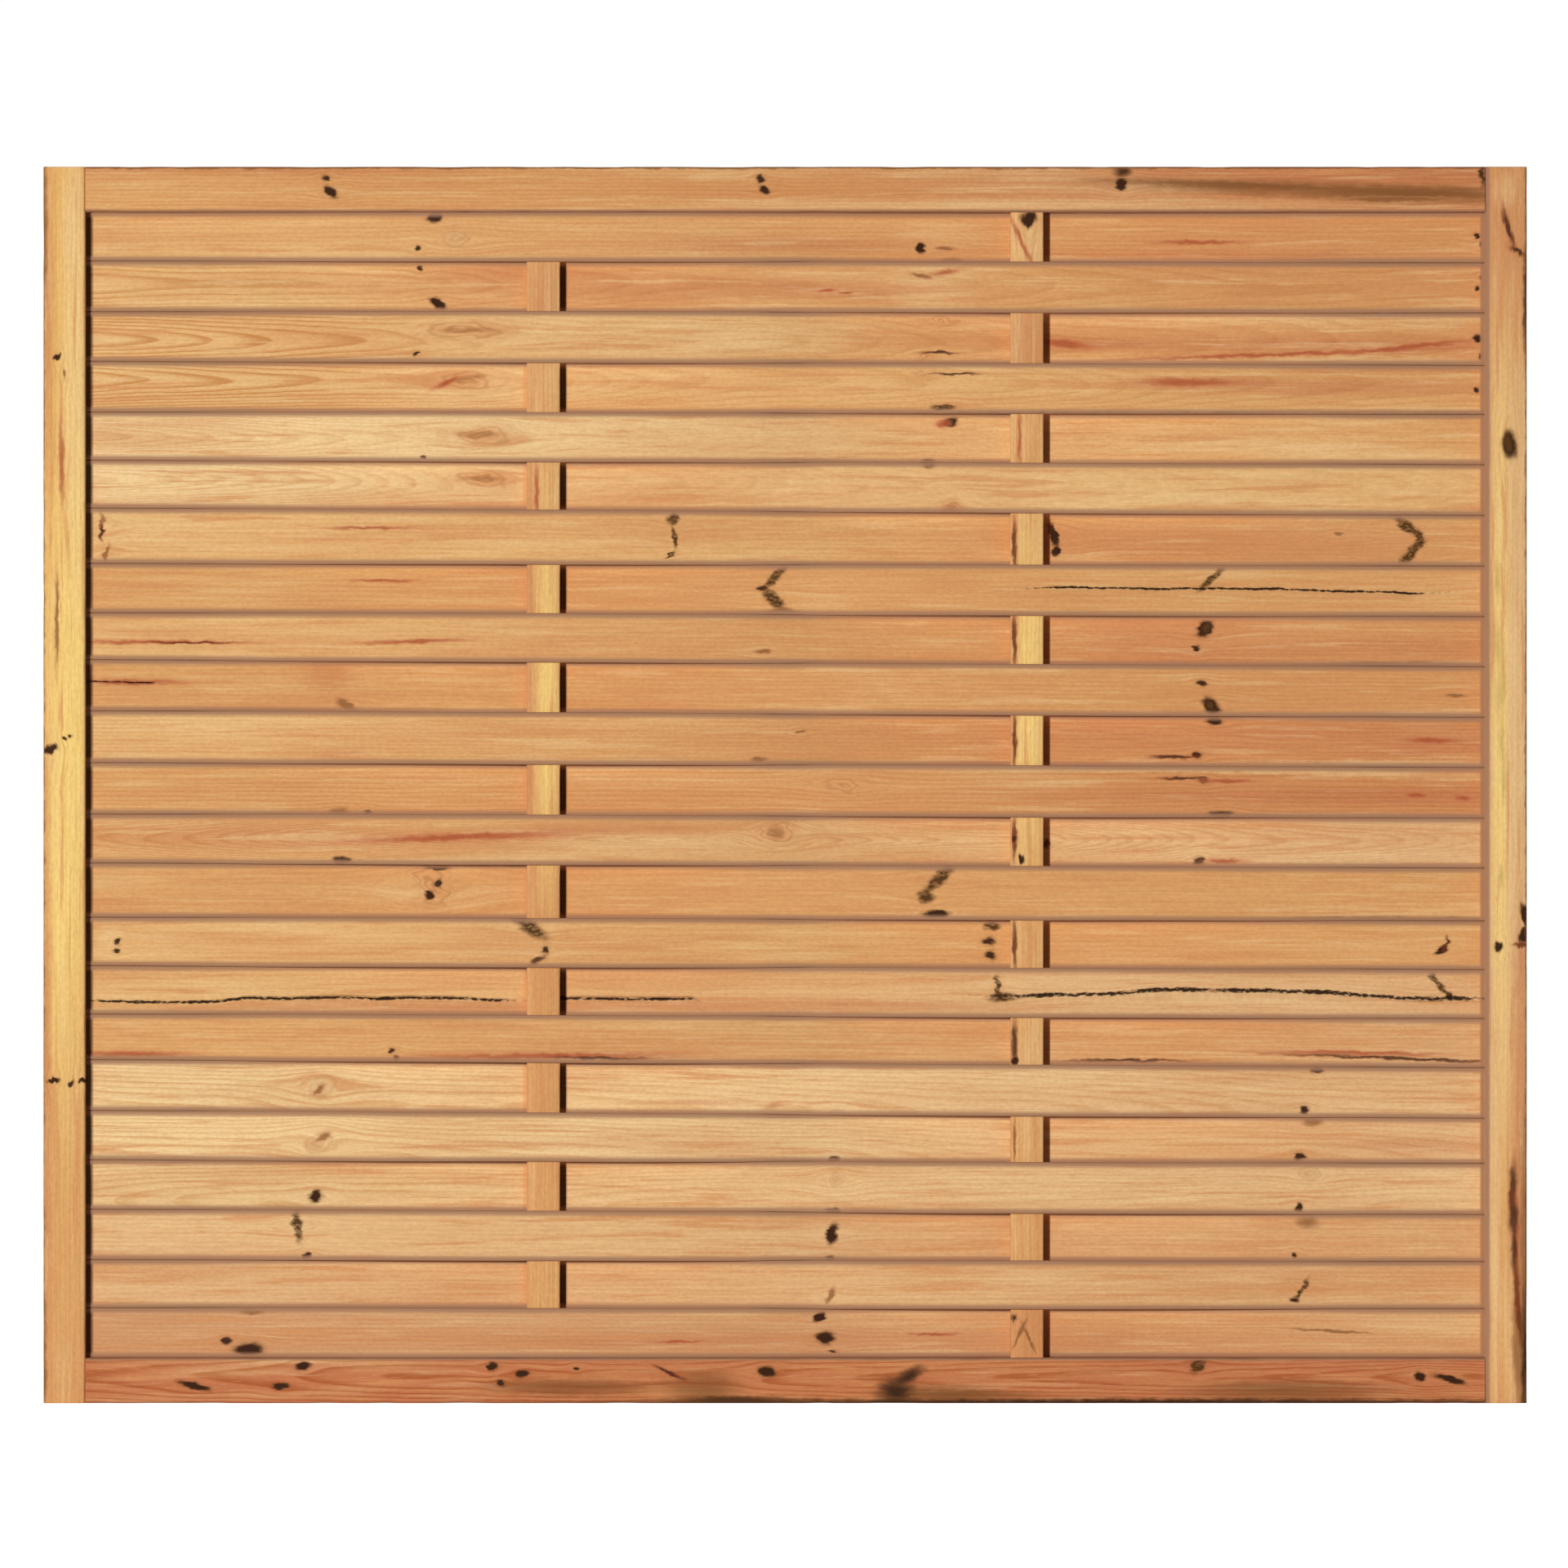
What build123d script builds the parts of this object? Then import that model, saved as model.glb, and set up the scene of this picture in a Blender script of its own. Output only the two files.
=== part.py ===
"""Woven timber fence panel, 1.8 m wide and 1.5 m high.

Two grooved stiles and two tongued rails make the frame. Two upright battens stand between the rails,
and thin slats are woven round them: each slat passes in front of one batten and behind the other,
and its neighbour does the opposite. The slat ends sit in the stile grooves.

Millimetres. X runs along the panel, -Y is the front and +Z is up. The origin is on the outer face of the
left stile, at mid depth and at the foot of the panel.
"""

import os

from build123d import *

# Outside of the finished frame
panel_width = 1800.0
panel_height = 1500.0

# Frame timber
frame_depth = 45.0
stile_width = 51.0
rail_height = 55.0
frame_arris = 3.5

# Groove down each stile, and the tongue on each rail end that fills it at the corners
groove_depth = 15.0
slat_side_clearance = 0.4
tongue_clearance = 0.15
tongue_end_clearance = 0.5

# Upright battens
batten_width = 40.0
batten_thickness = 20.0
batten_spacing = 587.0
batten_arris = 2.0

# Woven slats; the widths run from the top slat down, because no two were sawn quite alike
slat_widths = [
    60.0, 61.0, 62.0, 60.5, 60.0, 59.5, 64.5, 60.5, 59.0, 61.5, 62.0, 62.0,
    60.0, 65.0, 59.0, 59.0, 57.5, 61.5, 57.5, 61.0, 59.0, 58.0, 59.5,
]
slat_thickness = 7.0
slat_gap = 0.4
slat_arris = 2.2
slat_end_clearance = 2.0
slat_flat_margin = 6.0

# Sizes that follow from the ones above
groove_width = slat_thickness + 2 * slat_side_clearance
inner_width = panel_width - 2 * stile_width
inner_height = panel_height - 2 * rail_height
slat_stretch = inner_height / sum(slat_widths)
tongue_thickness = groove_width - 2 * tongue_clearance
tongue_length = groove_depth - tongue_end_clearance
slat_swing = (batten_thickness + slat_thickness) / 2
slat_flat_half = batten_width / 2 + slat_flat_margin
batten_centres = {
    "left": (panel_width - batten_spacing) / 2,
    "right": (panel_width + batten_spacing) / 2,
}


def grooved_stile(outer_x, inward):
    """Upright frame timber with its groove on the inner side; inward is +1 or -1 along X."""
    centre_x = outer_x + inward * stile_width / 2
    inner_x = outer_x + inward * stile_width
    with BuildPart() as stile:
        with BuildSketch(Plane.XY):
            with Locations((centre_x, 0)):
                RectangleRounded(stile_width, frame_depth, frame_arris)
            with Locations((inner_x - inward * groove_depth / 2, 0)):
                Rectangle(groove_depth, groove_width, mode=Mode.SUBTRACT)
        extrude(amount=panel_height)
    return stile


def tongued_rail(bottom_z):
    """Level frame timber between the stiles, with a tongue on each end for the stile groove."""
    with BuildPart() as rail:
        with BuildSketch(Plane.YZ.offset(stile_width)):
            with Locations((0, bottom_z + rail_height / 2)):
                RectangleRounded(frame_depth, rail_height, frame_arris)
        extrude(amount=inner_width)
        with BuildSketch(Plane.YZ.offset(stile_width - tongue_length)):
            with Locations((0, bottom_z + rail_height / 2)):
                Rectangle(tongue_thickness, rail_height)
        extrude(amount=inner_width + 2 * tongue_length)
    return rail


def upright_batten(centre_x):
    """Batten that stands on the bottom rail and reaches the top rail."""
    with BuildPart() as batten:
        with BuildSketch(Plane.XY.offset(rail_height)):
            with Locations((centre_x, 0)):
                RectangleRounded(batten_width, batten_thickness, batten_arris)
        extrude(amount=inner_height)
    return batten


def ease(start, end):
    """Gentle S bend of two equal arcs, level at start and at end."""
    middle = ((start[0] + end[0]) / 2, (start[1] + end[1]) / 2)
    rising = TangentArc(start, middle, tangent=(1, 0))
    TangentArc(middle, end, tangent=rising % 1)


def woven_slat(bottom_z, height, side):
    """Thin slat; side is -1 where it passes in front of the left batten and +1 where it passes behind."""
    near_end = stile_width - groove_depth + slat_end_clearance
    far_end = panel_width - near_end
    left_mouth = stile_width
    right_mouth = panel_width - stile_width
    left_from = batten_centres["left"] - slat_flat_half
    left_to = batten_centres["left"] + slat_flat_half
    right_from = batten_centres["right"] - slat_flat_half
    right_to = batten_centres["right"] + slat_flat_half
    # Y of the slat's front face in the grooves and over each batten
    groove_y = -slat_thickness / 2
    left_y = groove_y + side * slat_swing
    right_y = groove_y - side * slat_swing
    with BuildPart() as slat:
        with BuildSketch(Plane.XY.offset(bottom_z)):
            with BuildLine():
                Line((near_end, groove_y), (left_mouth, groove_y))
                ease((left_mouth, groove_y), (left_from, left_y))
                Line((left_from, left_y), (left_to, left_y))
                ease((left_to, left_y), (right_from, right_y))
                Line((right_from, right_y), (right_to, right_y))
                ease((right_to, right_y), (right_mouth, groove_y))
                Line((right_mouth, groove_y), (far_end, groove_y))
                offset(amount=slat_thickness, side=Side.LEFT)
            make_face()
        extrude(amount=height)
        level_faces = slat.faces().filter_by(Axis.Z)
        long_edges = level_faces.edges().filter_by(lambda edge: edge.length > 2 * slat_thickness)
        fillet(long_edges, slat_arris)
    return slat


def save(part, name):
    """Labels a finished piece and writes it to its own file."""
    part.part.label = name
    export_step(part.part, f"parts/{name}.step")


os.makedirs("parts", exist_ok=True)

save(grooved_stile(0, 1), "left_stile")
save(grooved_stile(panel_width, -1), "right_stile")
save(tongued_rail(panel_height - rail_height), "top_rail")
save(tongued_rail(0), "bottom_rail")

for hand, batten_x in batten_centres.items():
    save(upright_batten(batten_x), f"{hand}_batten")

# Slats are laid from the top rail down; odd ones pass in front of the left batten.
ceiling = panel_height - rail_height
for number, width in enumerate(slat_widths, start=1):
    pitch = width * slat_stretch
    foot = ceiling - pitch + slat_gap / 2
    front_or_back = -1 if number % 2 else 1
    save(woven_slat(foot, pitch - slat_gap, front_or_back), f"slat_{number:02d}")
    ceiling -= pitch
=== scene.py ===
# %% [markdown]
# A woven timber fence panel, dressed for its picture.
# The solids already give the sizes: two stiles, two rails, two upright battens and twenty-three thin
# slats woven round the battens. Here every board gets the things that a saw, a plane and two summers
# outdoors give it: soft edges, uneven joints, drying cracks, knots and the colour of pine.

# %% Load the frame
import math

import bmesh
import bpy
from mathutils import Matrix, Vector, noise


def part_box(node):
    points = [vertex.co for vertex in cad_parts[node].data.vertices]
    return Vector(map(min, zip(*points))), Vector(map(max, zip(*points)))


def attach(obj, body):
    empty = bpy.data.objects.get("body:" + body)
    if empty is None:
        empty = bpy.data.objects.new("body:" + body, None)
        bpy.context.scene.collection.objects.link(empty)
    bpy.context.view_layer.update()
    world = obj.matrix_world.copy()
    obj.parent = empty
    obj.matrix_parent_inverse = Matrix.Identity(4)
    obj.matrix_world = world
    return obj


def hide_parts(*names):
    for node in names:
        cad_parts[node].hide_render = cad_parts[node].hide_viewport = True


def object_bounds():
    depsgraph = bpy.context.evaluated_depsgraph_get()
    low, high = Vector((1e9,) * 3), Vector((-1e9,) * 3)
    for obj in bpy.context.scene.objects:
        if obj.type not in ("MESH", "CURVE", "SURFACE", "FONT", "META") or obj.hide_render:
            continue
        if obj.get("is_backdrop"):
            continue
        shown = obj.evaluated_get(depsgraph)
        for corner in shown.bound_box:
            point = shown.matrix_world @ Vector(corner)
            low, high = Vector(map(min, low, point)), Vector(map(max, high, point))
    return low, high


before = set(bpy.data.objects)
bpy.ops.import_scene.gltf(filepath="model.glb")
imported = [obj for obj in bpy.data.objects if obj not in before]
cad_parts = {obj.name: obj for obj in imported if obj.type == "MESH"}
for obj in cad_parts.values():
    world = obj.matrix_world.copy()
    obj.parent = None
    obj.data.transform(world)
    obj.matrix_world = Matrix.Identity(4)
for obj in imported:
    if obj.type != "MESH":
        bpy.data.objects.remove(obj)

cad_low, cad_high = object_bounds()
MM = 0.001
print("panel", [round(side, 3) for side in cad_high - cad_low], "m,", len(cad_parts), "nodes")

# %% [markdown]
# Nothing here is measured twice. The boxes of the solids say where each timber lies, so a change of the
# model moves the picture with it. Only sizes that a box can't tell are written down again, in metres.

# %% Read the timbers' places
SLATS = sorted(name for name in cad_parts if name.startswith("slat_"))
stile_low, stile_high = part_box("left_stile")
rail_low, rail_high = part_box("top_rail")
slat_low, slat_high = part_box(SLATS[0])
batten_low, batten_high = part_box("left_batten")
other_batten_low, other_batten_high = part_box("right_batten")

PANEL_WIDTH = cad_high.x
STILE_WIDTH = stile_high.x
FRAME_DEPTH = stile_high.y - stile_low.y
SLAT_THICKNESS = 7.0 * MM
SLAT_GAP = 0.4 * MM
OPEN_GAP = 0.02 * MM
SLAT_SWING = slat_high.y - SLAT_THICKNESS / 2
SLAT_START = slat_low.x
FLAT_MARGIN = 6.0 * MM
GROOVE_DEPTH = 15.0 * MM
GROOVE_WIDTH = 7.8 * MM
TONGUE_THICKNESS = 7.5 * MM
print("slats", len(SLATS), "swing", round(SLAT_SWING / MM, 1), "mm to either side")

# %% [markdown]
# A board is easiest to shape on a bench, lying along X with its width along Z and its face towards -Y.
# Its section is one face drawn from a few corners. Pulling that face out with an extrude gives the whole
# board in one step, and the section can carry a groove that a cube could not.

# %% Pull a board out of its section
def made_verts(result):
    """The vertices among the things that an operator made."""
    return [item for item in result["geom"] if isinstance(item, bmesh.types.BMVert)]


def draw_board(section, length):
    """A new bmesh with the board of that section, given as (through, across) corners, lying along X."""
    board = bmesh.new()
    corners = [board.verts.new((0, through, across)) for through, across in section]
    face = board.faces.new(corners)
    pulled = bmesh.ops.extrude_face_region(board, geom=[face], use_keep_orig=True)
    bmesh.ops.translate(board, vec=(length, 0, 0), verts=made_verts(pulled))
    bmesh.ops.recalc_face_normals(board, faces=board.faces)
    return board


def plain_section(thickness, width):
    """Corners of a rectangle, centred."""
    t, w = thickness / 2, width / 2
    return [(-t, -w), (t, -w), (t, w), (-t, w)]

# %% [markdown]
# Planed timber never has a knife edge: the planer leaves a small round, the arris. Only the long outer
# edges get it here, found by their direction and by both being at the outside of the section. Bevelling
# before any cuts are made keeps the round in one clean strip from end to end.

# %% Round the long edges and ease the ends
TOUCH = 1e-6            # in metres: two places as near as that are one
ALONG_SHARE = 0.9       # an edge lies along the board if this much of its length does


def runs_along(edge):
    """True for an edge that lies along the board."""
    reach = edge.verts[1].co - edge.verts[0].co
    return abs(reach.x) > ALONG_SHARE * reach.length


def bevel_edges(board, edges, offset, steps):
    """Rounds those edges in so many steps."""
    bmesh.ops.bevel(board, geom=edges, offset=offset, offset_type="OFFSET", segments=steps, profile=0.5,
                    affect="EDGES", material=-1, clamp_overlap=True)


def round_long_edges(board, thickness, width, arris, steps):
    """Rounds the four outer long edges of a board."""
    outer = []
    for edge in board.edges:
        spot = edge.verts[0].co
        at_corner = abs(abs(spot.y) - thickness / 2) < TOUCH and abs(abs(spot.z) - width / 2) < TOUCH
        if runs_along(edge) and at_corner:
            outer.append(edge)
    bevel_edges(board, outer, arris, steps)


def ease_ends(board, length, ease):
    """Takes the sharpness off the sawn ends."""
    ends = []
    for edge in board.edges:
        on_end = [abs(v.co.x) < TOUCH or abs(v.co.x - length) < TOUCH for v in edge.verts]
        if all(on_end) and not runs_along(edge):
            ends.append(edge)
    bevel_edges(board, ends, ease, 2)

# %% [markdown]
# A board with four corners can't bend or wave. Rows of cuts along it, made with bisect_plane, and rings
# of cuts across it, made with subdivide_edges on every long edge at once, give it something to bend with.
# The places are then stored as an attribute called board: along, across and through, in metres. The wood
# pattern reads that attribute, so the grain follows the board when it bends or stands upright.

# %% Cut rows and rings, and remember the board's own places
def cut_through(board, spot, facing):
    """One cut through the whole board, in the plane at that spot that faces that way."""
    everything = board.verts[:] + board.edges[:] + board.faces[:]
    bmesh.ops.bisect_plane(board, geom=everything, plane_co=spot, plane_no=facing, dist=TOUCH)


def cut_rows(board, rows):
    """Cuts along the board at these places across its width."""
    for across in rows:
        cut_through(board, (0, 0, across), (0, 0, 1))


def cut_rings(board, length, spacing):
    """Cuts across every long edge, about this far apart."""
    long_edges = [edge for edge in board.edges if runs_along(edge) and edge.calc_length() > length / 2]
    bmesh.ops.subdivide_edges(board, edges=long_edges, cuts=int(length / spacing), use_grid_fill=True)


def remember_places(board):
    """Stores along, across and through on every vertex."""
    layer = board.verts.layers.float_vector.new("board")
    for v in board.verts:
        v[layer] = (v.co.x, v.co.z, v.co.y)

# %% [markdown]
# In the picture no joint between two slats is quite level: the stack has settled a little towards the
# right. One function says where each joint runs, and both its neighbours use it, so that they never cross.
# The drops were read off the photograph at the left and right ends; a slow noise adds the small waves that
# a sawn edge has. mathutils.noise gives the same numbers on each run.

# %% Where each joint runs
JOINT_DROP = [0, 2.5, 1.5, 5, 3, 5.5, 9, 3.5, 5, 9, 8, 6, 5, 6.5, 4.5, 5, 5.5, 10, 9.5, 4.5, 6.5, 3, 1, 0]
JOINT_WAVE = 0.5 * MM
WAVES_IN_A_METRE = 5.0
JOINT_APART = 7.3       # how far apart two joints' waves are taken from the noise

joint_heights = [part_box(name)[1].z + SLAT_GAP / 2 for name in SLATS]
joint_heights.append(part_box(SLATS[-1])[0].z - SLAT_GAP / 2)
inner_width = PANEL_WIDTH - 2 * STILE_WIDTH


def joint_height(joint, x):
    """Height of a joint at x; joint 0 is under the top rail and the last one is on the bottom rail."""
    share = (x - STILE_WIDTH) / inner_width
    wave = JOINT_WAVE * noise.noise((x * WAVES_IN_A_METRE, joint * JOINT_APART, 0.0))
    if joint in (0, len(SLATS)):
        wave = 0.0
    return joint_heights[joint] - JOINT_DROP[joint] * MM * (share - 0.5) + wave


# %% [markdown]
# The weave is the heart of the piece. Each slat lies flat on one side of the first batten, crosses to the
# other side, lies flat on the second batten and comes back to the groove. Two equal arcs, one turning each
# way, join those flats. For such gentle bends an arc is a parabola, which takes one line of arithmetic.

# %% How a slat swings round the battens
def ease_curve(t):
    """From 0 to 1, with level ends, as two equal arcs."""
    if t < 0.5:
        return 2 * t * t
    return 1 - 2 * (1 - t) * (1 - t)


FLATS = [
    (SLAT_START, STILE_WIDTH, 0.0),
    (batten_low.x - FLAT_MARGIN, batten_high.x + FLAT_MARGIN, 1.0),
    (other_batten_low.x - FLAT_MARGIN, other_batten_high.x + FLAT_MARGIN, -1.0),
    (PANEL_WIDTH - STILE_WIDTH, PANEL_WIDTH - SLAT_START, 0.0),
]


def swing(x):
    """How far a slat stands off the middle plane at x, where it passes the left batten on side +1."""
    for (_, flat_end, here), (next_start, _, there) in zip(FLATS, FLATS[1:]):
        if x <= flat_end:
            return here * SLAT_SWING
        if x < next_start:
            t = (x - flat_end) / (next_start - flat_end)
            return (here + (there - here) * ease_curve(t)) * SLAT_SWING
    return 0.0


print("slats cross over", round((FLATS[2][0] - FLATS[1][1]) / MM), "mm between the battens")

# %% [markdown]
# Thin pine dries faster than thick pine, so the slats split along the grain. Three of them have splits long
# enough to be shaped. Each lies near one level row of cuts, which its line then leaves to follow the grain.

# %% Where the splits run
CRACKS = {
    # slat: (its row of cuts, depth, half width, the line as (x, up from the middle) points), all in mm
    "slat_08": [(1.0, 2.4, 2.3, [(1168, 2.6), (1250, 3.6), (1400, 2.2), (1500, 2.4), (1560, -0.4),
                                 (1625, -1.2), (1722, -5.5)])],
    "slat_10": [(4.0, 1.8, 1.5, [(45, 4), (140, 4)])],
    "slat_16": [(-11.5, 3.0, 3.0, [(20, -14), (170, -14), (213, -13), (246, -9), (470, -8.6), (595, -11)]),
                (-11.5, 2.4, 2.9, [(600, -8), (800, -8)]),
                (-3.0, 3.4, 3.9, [(1120, -5), (1152, -4.5), (1216, -2.5), (1289, -1.6), (1354, 4.6),
                                  (1500, 3.2), (1565, 0.8), (1605, -3), (1653, -5), (1790, -5)])],
}
WAVE_ROW = 0.3          # where the cuts for the waves lie, as a share of the width


def crack_rows(name, width):
    """Places across the board where its cracks need cuts, and a few more so that it can wave."""
    rows = [-WAVE_ROW * width, WAVE_ROW * width]
    for row, _, half_width, _ in CRACKS.get(name, []):
        for step in (-1, 0, 1):
            rows.append((row + step * half_width) * MM)
    return sorted(set(rows))


def height_of_line(line, x):
    """Height of a crack's line at x, straight from point to point."""
    for (x_from, low), (x_to, high) in zip(line, line[1:]):
        if x <= x_to:
            return low + (high - low) * (x - x_from) / (x_to - x_from)
    return line[-1][1]


print("split slats:", sorted(CRACKS))

# %% [markdown]
# A split is real depth here, and painted shade darkens its open middle as well. The middle one of its three
# rows of cuts is pushed into the wood, and an attribute called crack tells the finish where it is open. A
# noise makes its line wander, as a split does, and both its ends run out gently.

# %% Open a split
CRACK_WANDER = 1.2 * MM
CRACK_TAPER = 8         # a split shallows over an eighth of its length at each end
CRACK_RUN_IN = 12       # and its line leaves the level row over a twelfth
CRACK_SHALLOWEST = 0.15


def open_cracks(board, name, start):
    """Pushes the middle row of each crack into the front face."""
    layer = board.verts.layers.float.new("crack")
    places = board.verts.layers.float_vector["board"]
    for number, (row, depth, half_width, line) in enumerate(CRACKS.get(name, [])):
        x_from, x_to = line[0][0], line[-1][0]
        for v in board.verts:
            x = v.co.x + start
            offset = v[places].y - row * MM
            on_front = v.co.y <= -SLAT_THICKNESS * 0.49
            if not on_front or abs(offset) > half_width * MM * 1.05:
                continue
            if not x_from * MM < x < x_to * MM:
                continue
            t = (x - x_from * MM) / ((x_to - x_from) * MM)
            taper = min(1.0, CRACK_TAPER * t, CRACK_TAPER * (1 - t))
            fade = max(CRACK_SHALLOWEST, taper * (0.7 + 0.5 * noise.noise((x * 30, number, 3.1))))
            in_middle_row = abs(offset) < half_width * MM * 0.1
            if in_middle_row:
                v.co.y += depth * MM * fade
                v[layer] = fade
            wander = noise.noise((x * 22, number * 5.0, 9.4)) + 0.7 * noise.noise((x * 60, number, 1.7))
            aside = (height_of_line(line, x / MM) - row) * MM + CRACK_WANDER * wander
            v.co.z += aside * min(1.0, CRACK_RUN_IN * t, CRACK_RUN_IN * (1 - t))

# %% [markdown]
# Every finished mesh becomes an object at the origin, unturned and unscaled. Its place is in its mesh, as
# it is on the solids, so nothing has to be moved later.

# %% Turn a bmesh into a piece of the panel
SHARP_FROM = math.radians(50)


def finish_piece(board, name, node):
    """Makes the object, lets it ride on the body and stand for its solid."""
    bmesh.ops.recalc_face_normals(board, faces=board.faces)
    mesh = bpy.data.meshes.new(name)
    board.to_mesh(mesh)
    board.free()
    mesh.shade_smooth()
    mesh.set_sharp_from_angle(angle=SHARP_FROM)
    piece = bpy.data.objects.new(name, mesh)
    bpy.context.collection.objects.link(piece)
    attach(piece, "root")
    if node:
        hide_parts(node)
    return piece

# %% [markdown]
# Now the slats. Each is drawn flat, rounded, cut, cracked and only then bent: the bend is the last thing
# that happens to a real slat as well. Odd slats pass in front of the left batten and even ones behind it.
# Where two neighbours stand well apart, their edges lap by a millimetre, so that no light shows through.

# %% Weave the slats
SLAT_ARRIS = 2.2 * MM
SLAT_ARRIS_STEPS = 3
EDGE_LAP = 0.7 * MM
LAP_FROM, LAP_FULL = 3 * MM, 9 * MM      # how far apart two slats stand where the lap starts and is full
RAIL_LAP = 0.25 * MM
RING_SPACING = 6.0 * MM
slat_length = slat_high.x - slat_low.x
pieces = {}


def lap_at(x):
    """How far a slat reaches over its neighbour's edge; nothing where the two stand in one plane."""
    apart = 2 * abs(swing(x))
    share = min(1.0, max(0.0, (apart - LAP_FROM) / (LAP_FULL - LAP_FROM)))
    return EDGE_LAP * share - OPEN_GAP / 2 * (1 - share)


def make_slat(number, name):
    """One woven slat."""
    low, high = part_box(name)
    width = high.z - low.z
    side = -1 if number % 2 else 1
    board = draw_board(plain_section(SLAT_THICKNESS, width), slat_length)
    round_long_edges(board, SLAT_THICKNESS, width, SLAT_ARRIS, SLAT_ARRIS_STEPS)
    cut_rows(board, crack_rows(name, width))
    cut_rings(board, slat_length, RING_SPACING)
    remember_places(board)
    open_cracks(board, name, SLAT_START)
    for v in board.verts:
        x = v.co.x + SLAT_START
        share = v.co.z / width + 0.5
        lap = lap_at(x)
        foot = joint_height(number, x) - (RAIL_LAP if number == len(SLATS) else lap)
        head = joint_height(number - 1, x) + (RAIL_LAP if number == 1 else lap)
        v.co = (x, v.co.y + side * swing(x), foot + share * (head - foot))
    return finish_piece(board, f"{name}_board", name)


for number, name in enumerate(SLATS, start=1):
    pieces[name] = make_slat(number, name)
print("slats woven,", sum(len(p.data.polygons) for p in pieces.values()), "faces")

# %% [markdown]
# The frame timbers are thick enough to stay straight. Their edges are a little worn instead: a fine noise
# takes up to half a millimetre off the arrises. The wear only ever goes inwards, so that the timber stays
# inside the size it was planed to.

# %% Wear on the arrises
WEAR_ALONG, WEAR_ACROSS = 25, 90         # cells of the wear in a metre
SOUND_SHARE = 0.1                        # the part of the noise that leaves the edge whole


def wear_edges(board, thickness, width, arris, depth, seed):
    """Moves the rounded edges inwards by an uneven amount."""
    for v in board.verts:
        near_edge = thickness / 2 - abs(v.co.y) < arris and width / 2 - abs(v.co.z) < arris
        if near_edge:
            spot = (v.co.x * WEAR_ALONG, v.co.y * WEAR_ACROSS + seed, v.co.z * WEAR_ACROSS)
            bite = max(0.0, noise.noise(spot) - SOUND_SHARE)
            v.co.y -= math.copysign(depth * bite, v.co.y)
            v.co.z -= math.copysign(depth * bite, v.co.z)


def stand_up(board, centre_x):
    """Turns a board that lies along X so that it stands along Z."""
    turn = Matrix.Rotation(math.radians(-90), 3, "Y")
    bmesh.ops.rotate(board, cent=(0, 0, 0), matrix=turn, verts=board.verts)
    bmesh.ops.translate(board, vec=(centre_x, 0, 0), verts=board.verts)

# %% [markdown]
# A stile has a groove down its inner side, where the slat ends sit. Eight corners draw that section, so the
# groove needs no boolean cut. The left stile's inner side is towards +X, which is -Z on the bench after
# the board is stood up, and the right stile's is the other way round. The outer side is planed back by
# a hair, which leaves room for the screw heads inside the panel's width.

# %% The two stiles
FRAME_ARRIS = 3.5 * MM
FRAME_ARRIS_STEPS = 4
END_EASE = 1.0 * MM
FRAME_RING_SPACING = 8.0 * MM
EDGE_WEAR = 1.1 * MM
SCREW_ROOM = 0.3 * MM
panel_height = stile_high.z


def grooved_section(inner):
    """Section of a stile; inner is the sign of the grooved side across the board."""
    t, w, g = FRAME_DEPTH / 2, STILE_WIDTH / 2, GROOVE_WIDTH / 2
    floor = w - GROOVE_DEPTH
    corners = [(-t, -w), (t, -w), (t, w), (g, w), (g, floor), (-g, floor), (-g, w), (-t, w)]
    return [(through, across * inner) for through, across in corners]


def make_stile(name, centre_x, inner):
    """One stile, stood up at its place."""
    board = draw_board(grooved_section(inner), panel_height)
    round_long_edges(board, FRAME_DEPTH, STILE_WIDTH, FRAME_ARRIS, FRAME_ARRIS_STEPS)
    ease_ends(board, panel_height, END_EASE)
    cut_rings(board, panel_height, FRAME_RING_SPACING)
    remember_places(board)
    wear_edges(board, FRAME_DEPTH, STILE_WIDTH, FRAME_ARRIS, EDGE_WEAR, centre_x * 10)
    outer_face = STILE_WIDTH / 2 - SCREW_ROOM
    for v in board.verts:
        if v.co.z * -inner > outer_face:
            v.co.z = -inner * outer_face
    stand_up(board, centre_x)
    return finish_piece(board, f"{name}_timber", name)


pieces["left_stile"] = make_stile("left_stile", STILE_WIDTH / 2, -1)
pieces["right_stile"] = make_stile("right_stile", PANEL_WIDTH - STILE_WIDTH / 2, 1)
print("stiles stand", round(panel_height, 3), "m tall")

# %% [markdown]
# A rail ends in a tongue that fills the stile's groove. Two cuts along the rail split its end into three
# strips, and the middle strip is pulled out. Discrete face extrusion moves that strip by itself.

# %% The two rails
RAIL_HEIGHT = rail_high.z - rail_low.z
tongue_length = stile_high.x - rail_low.x


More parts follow.
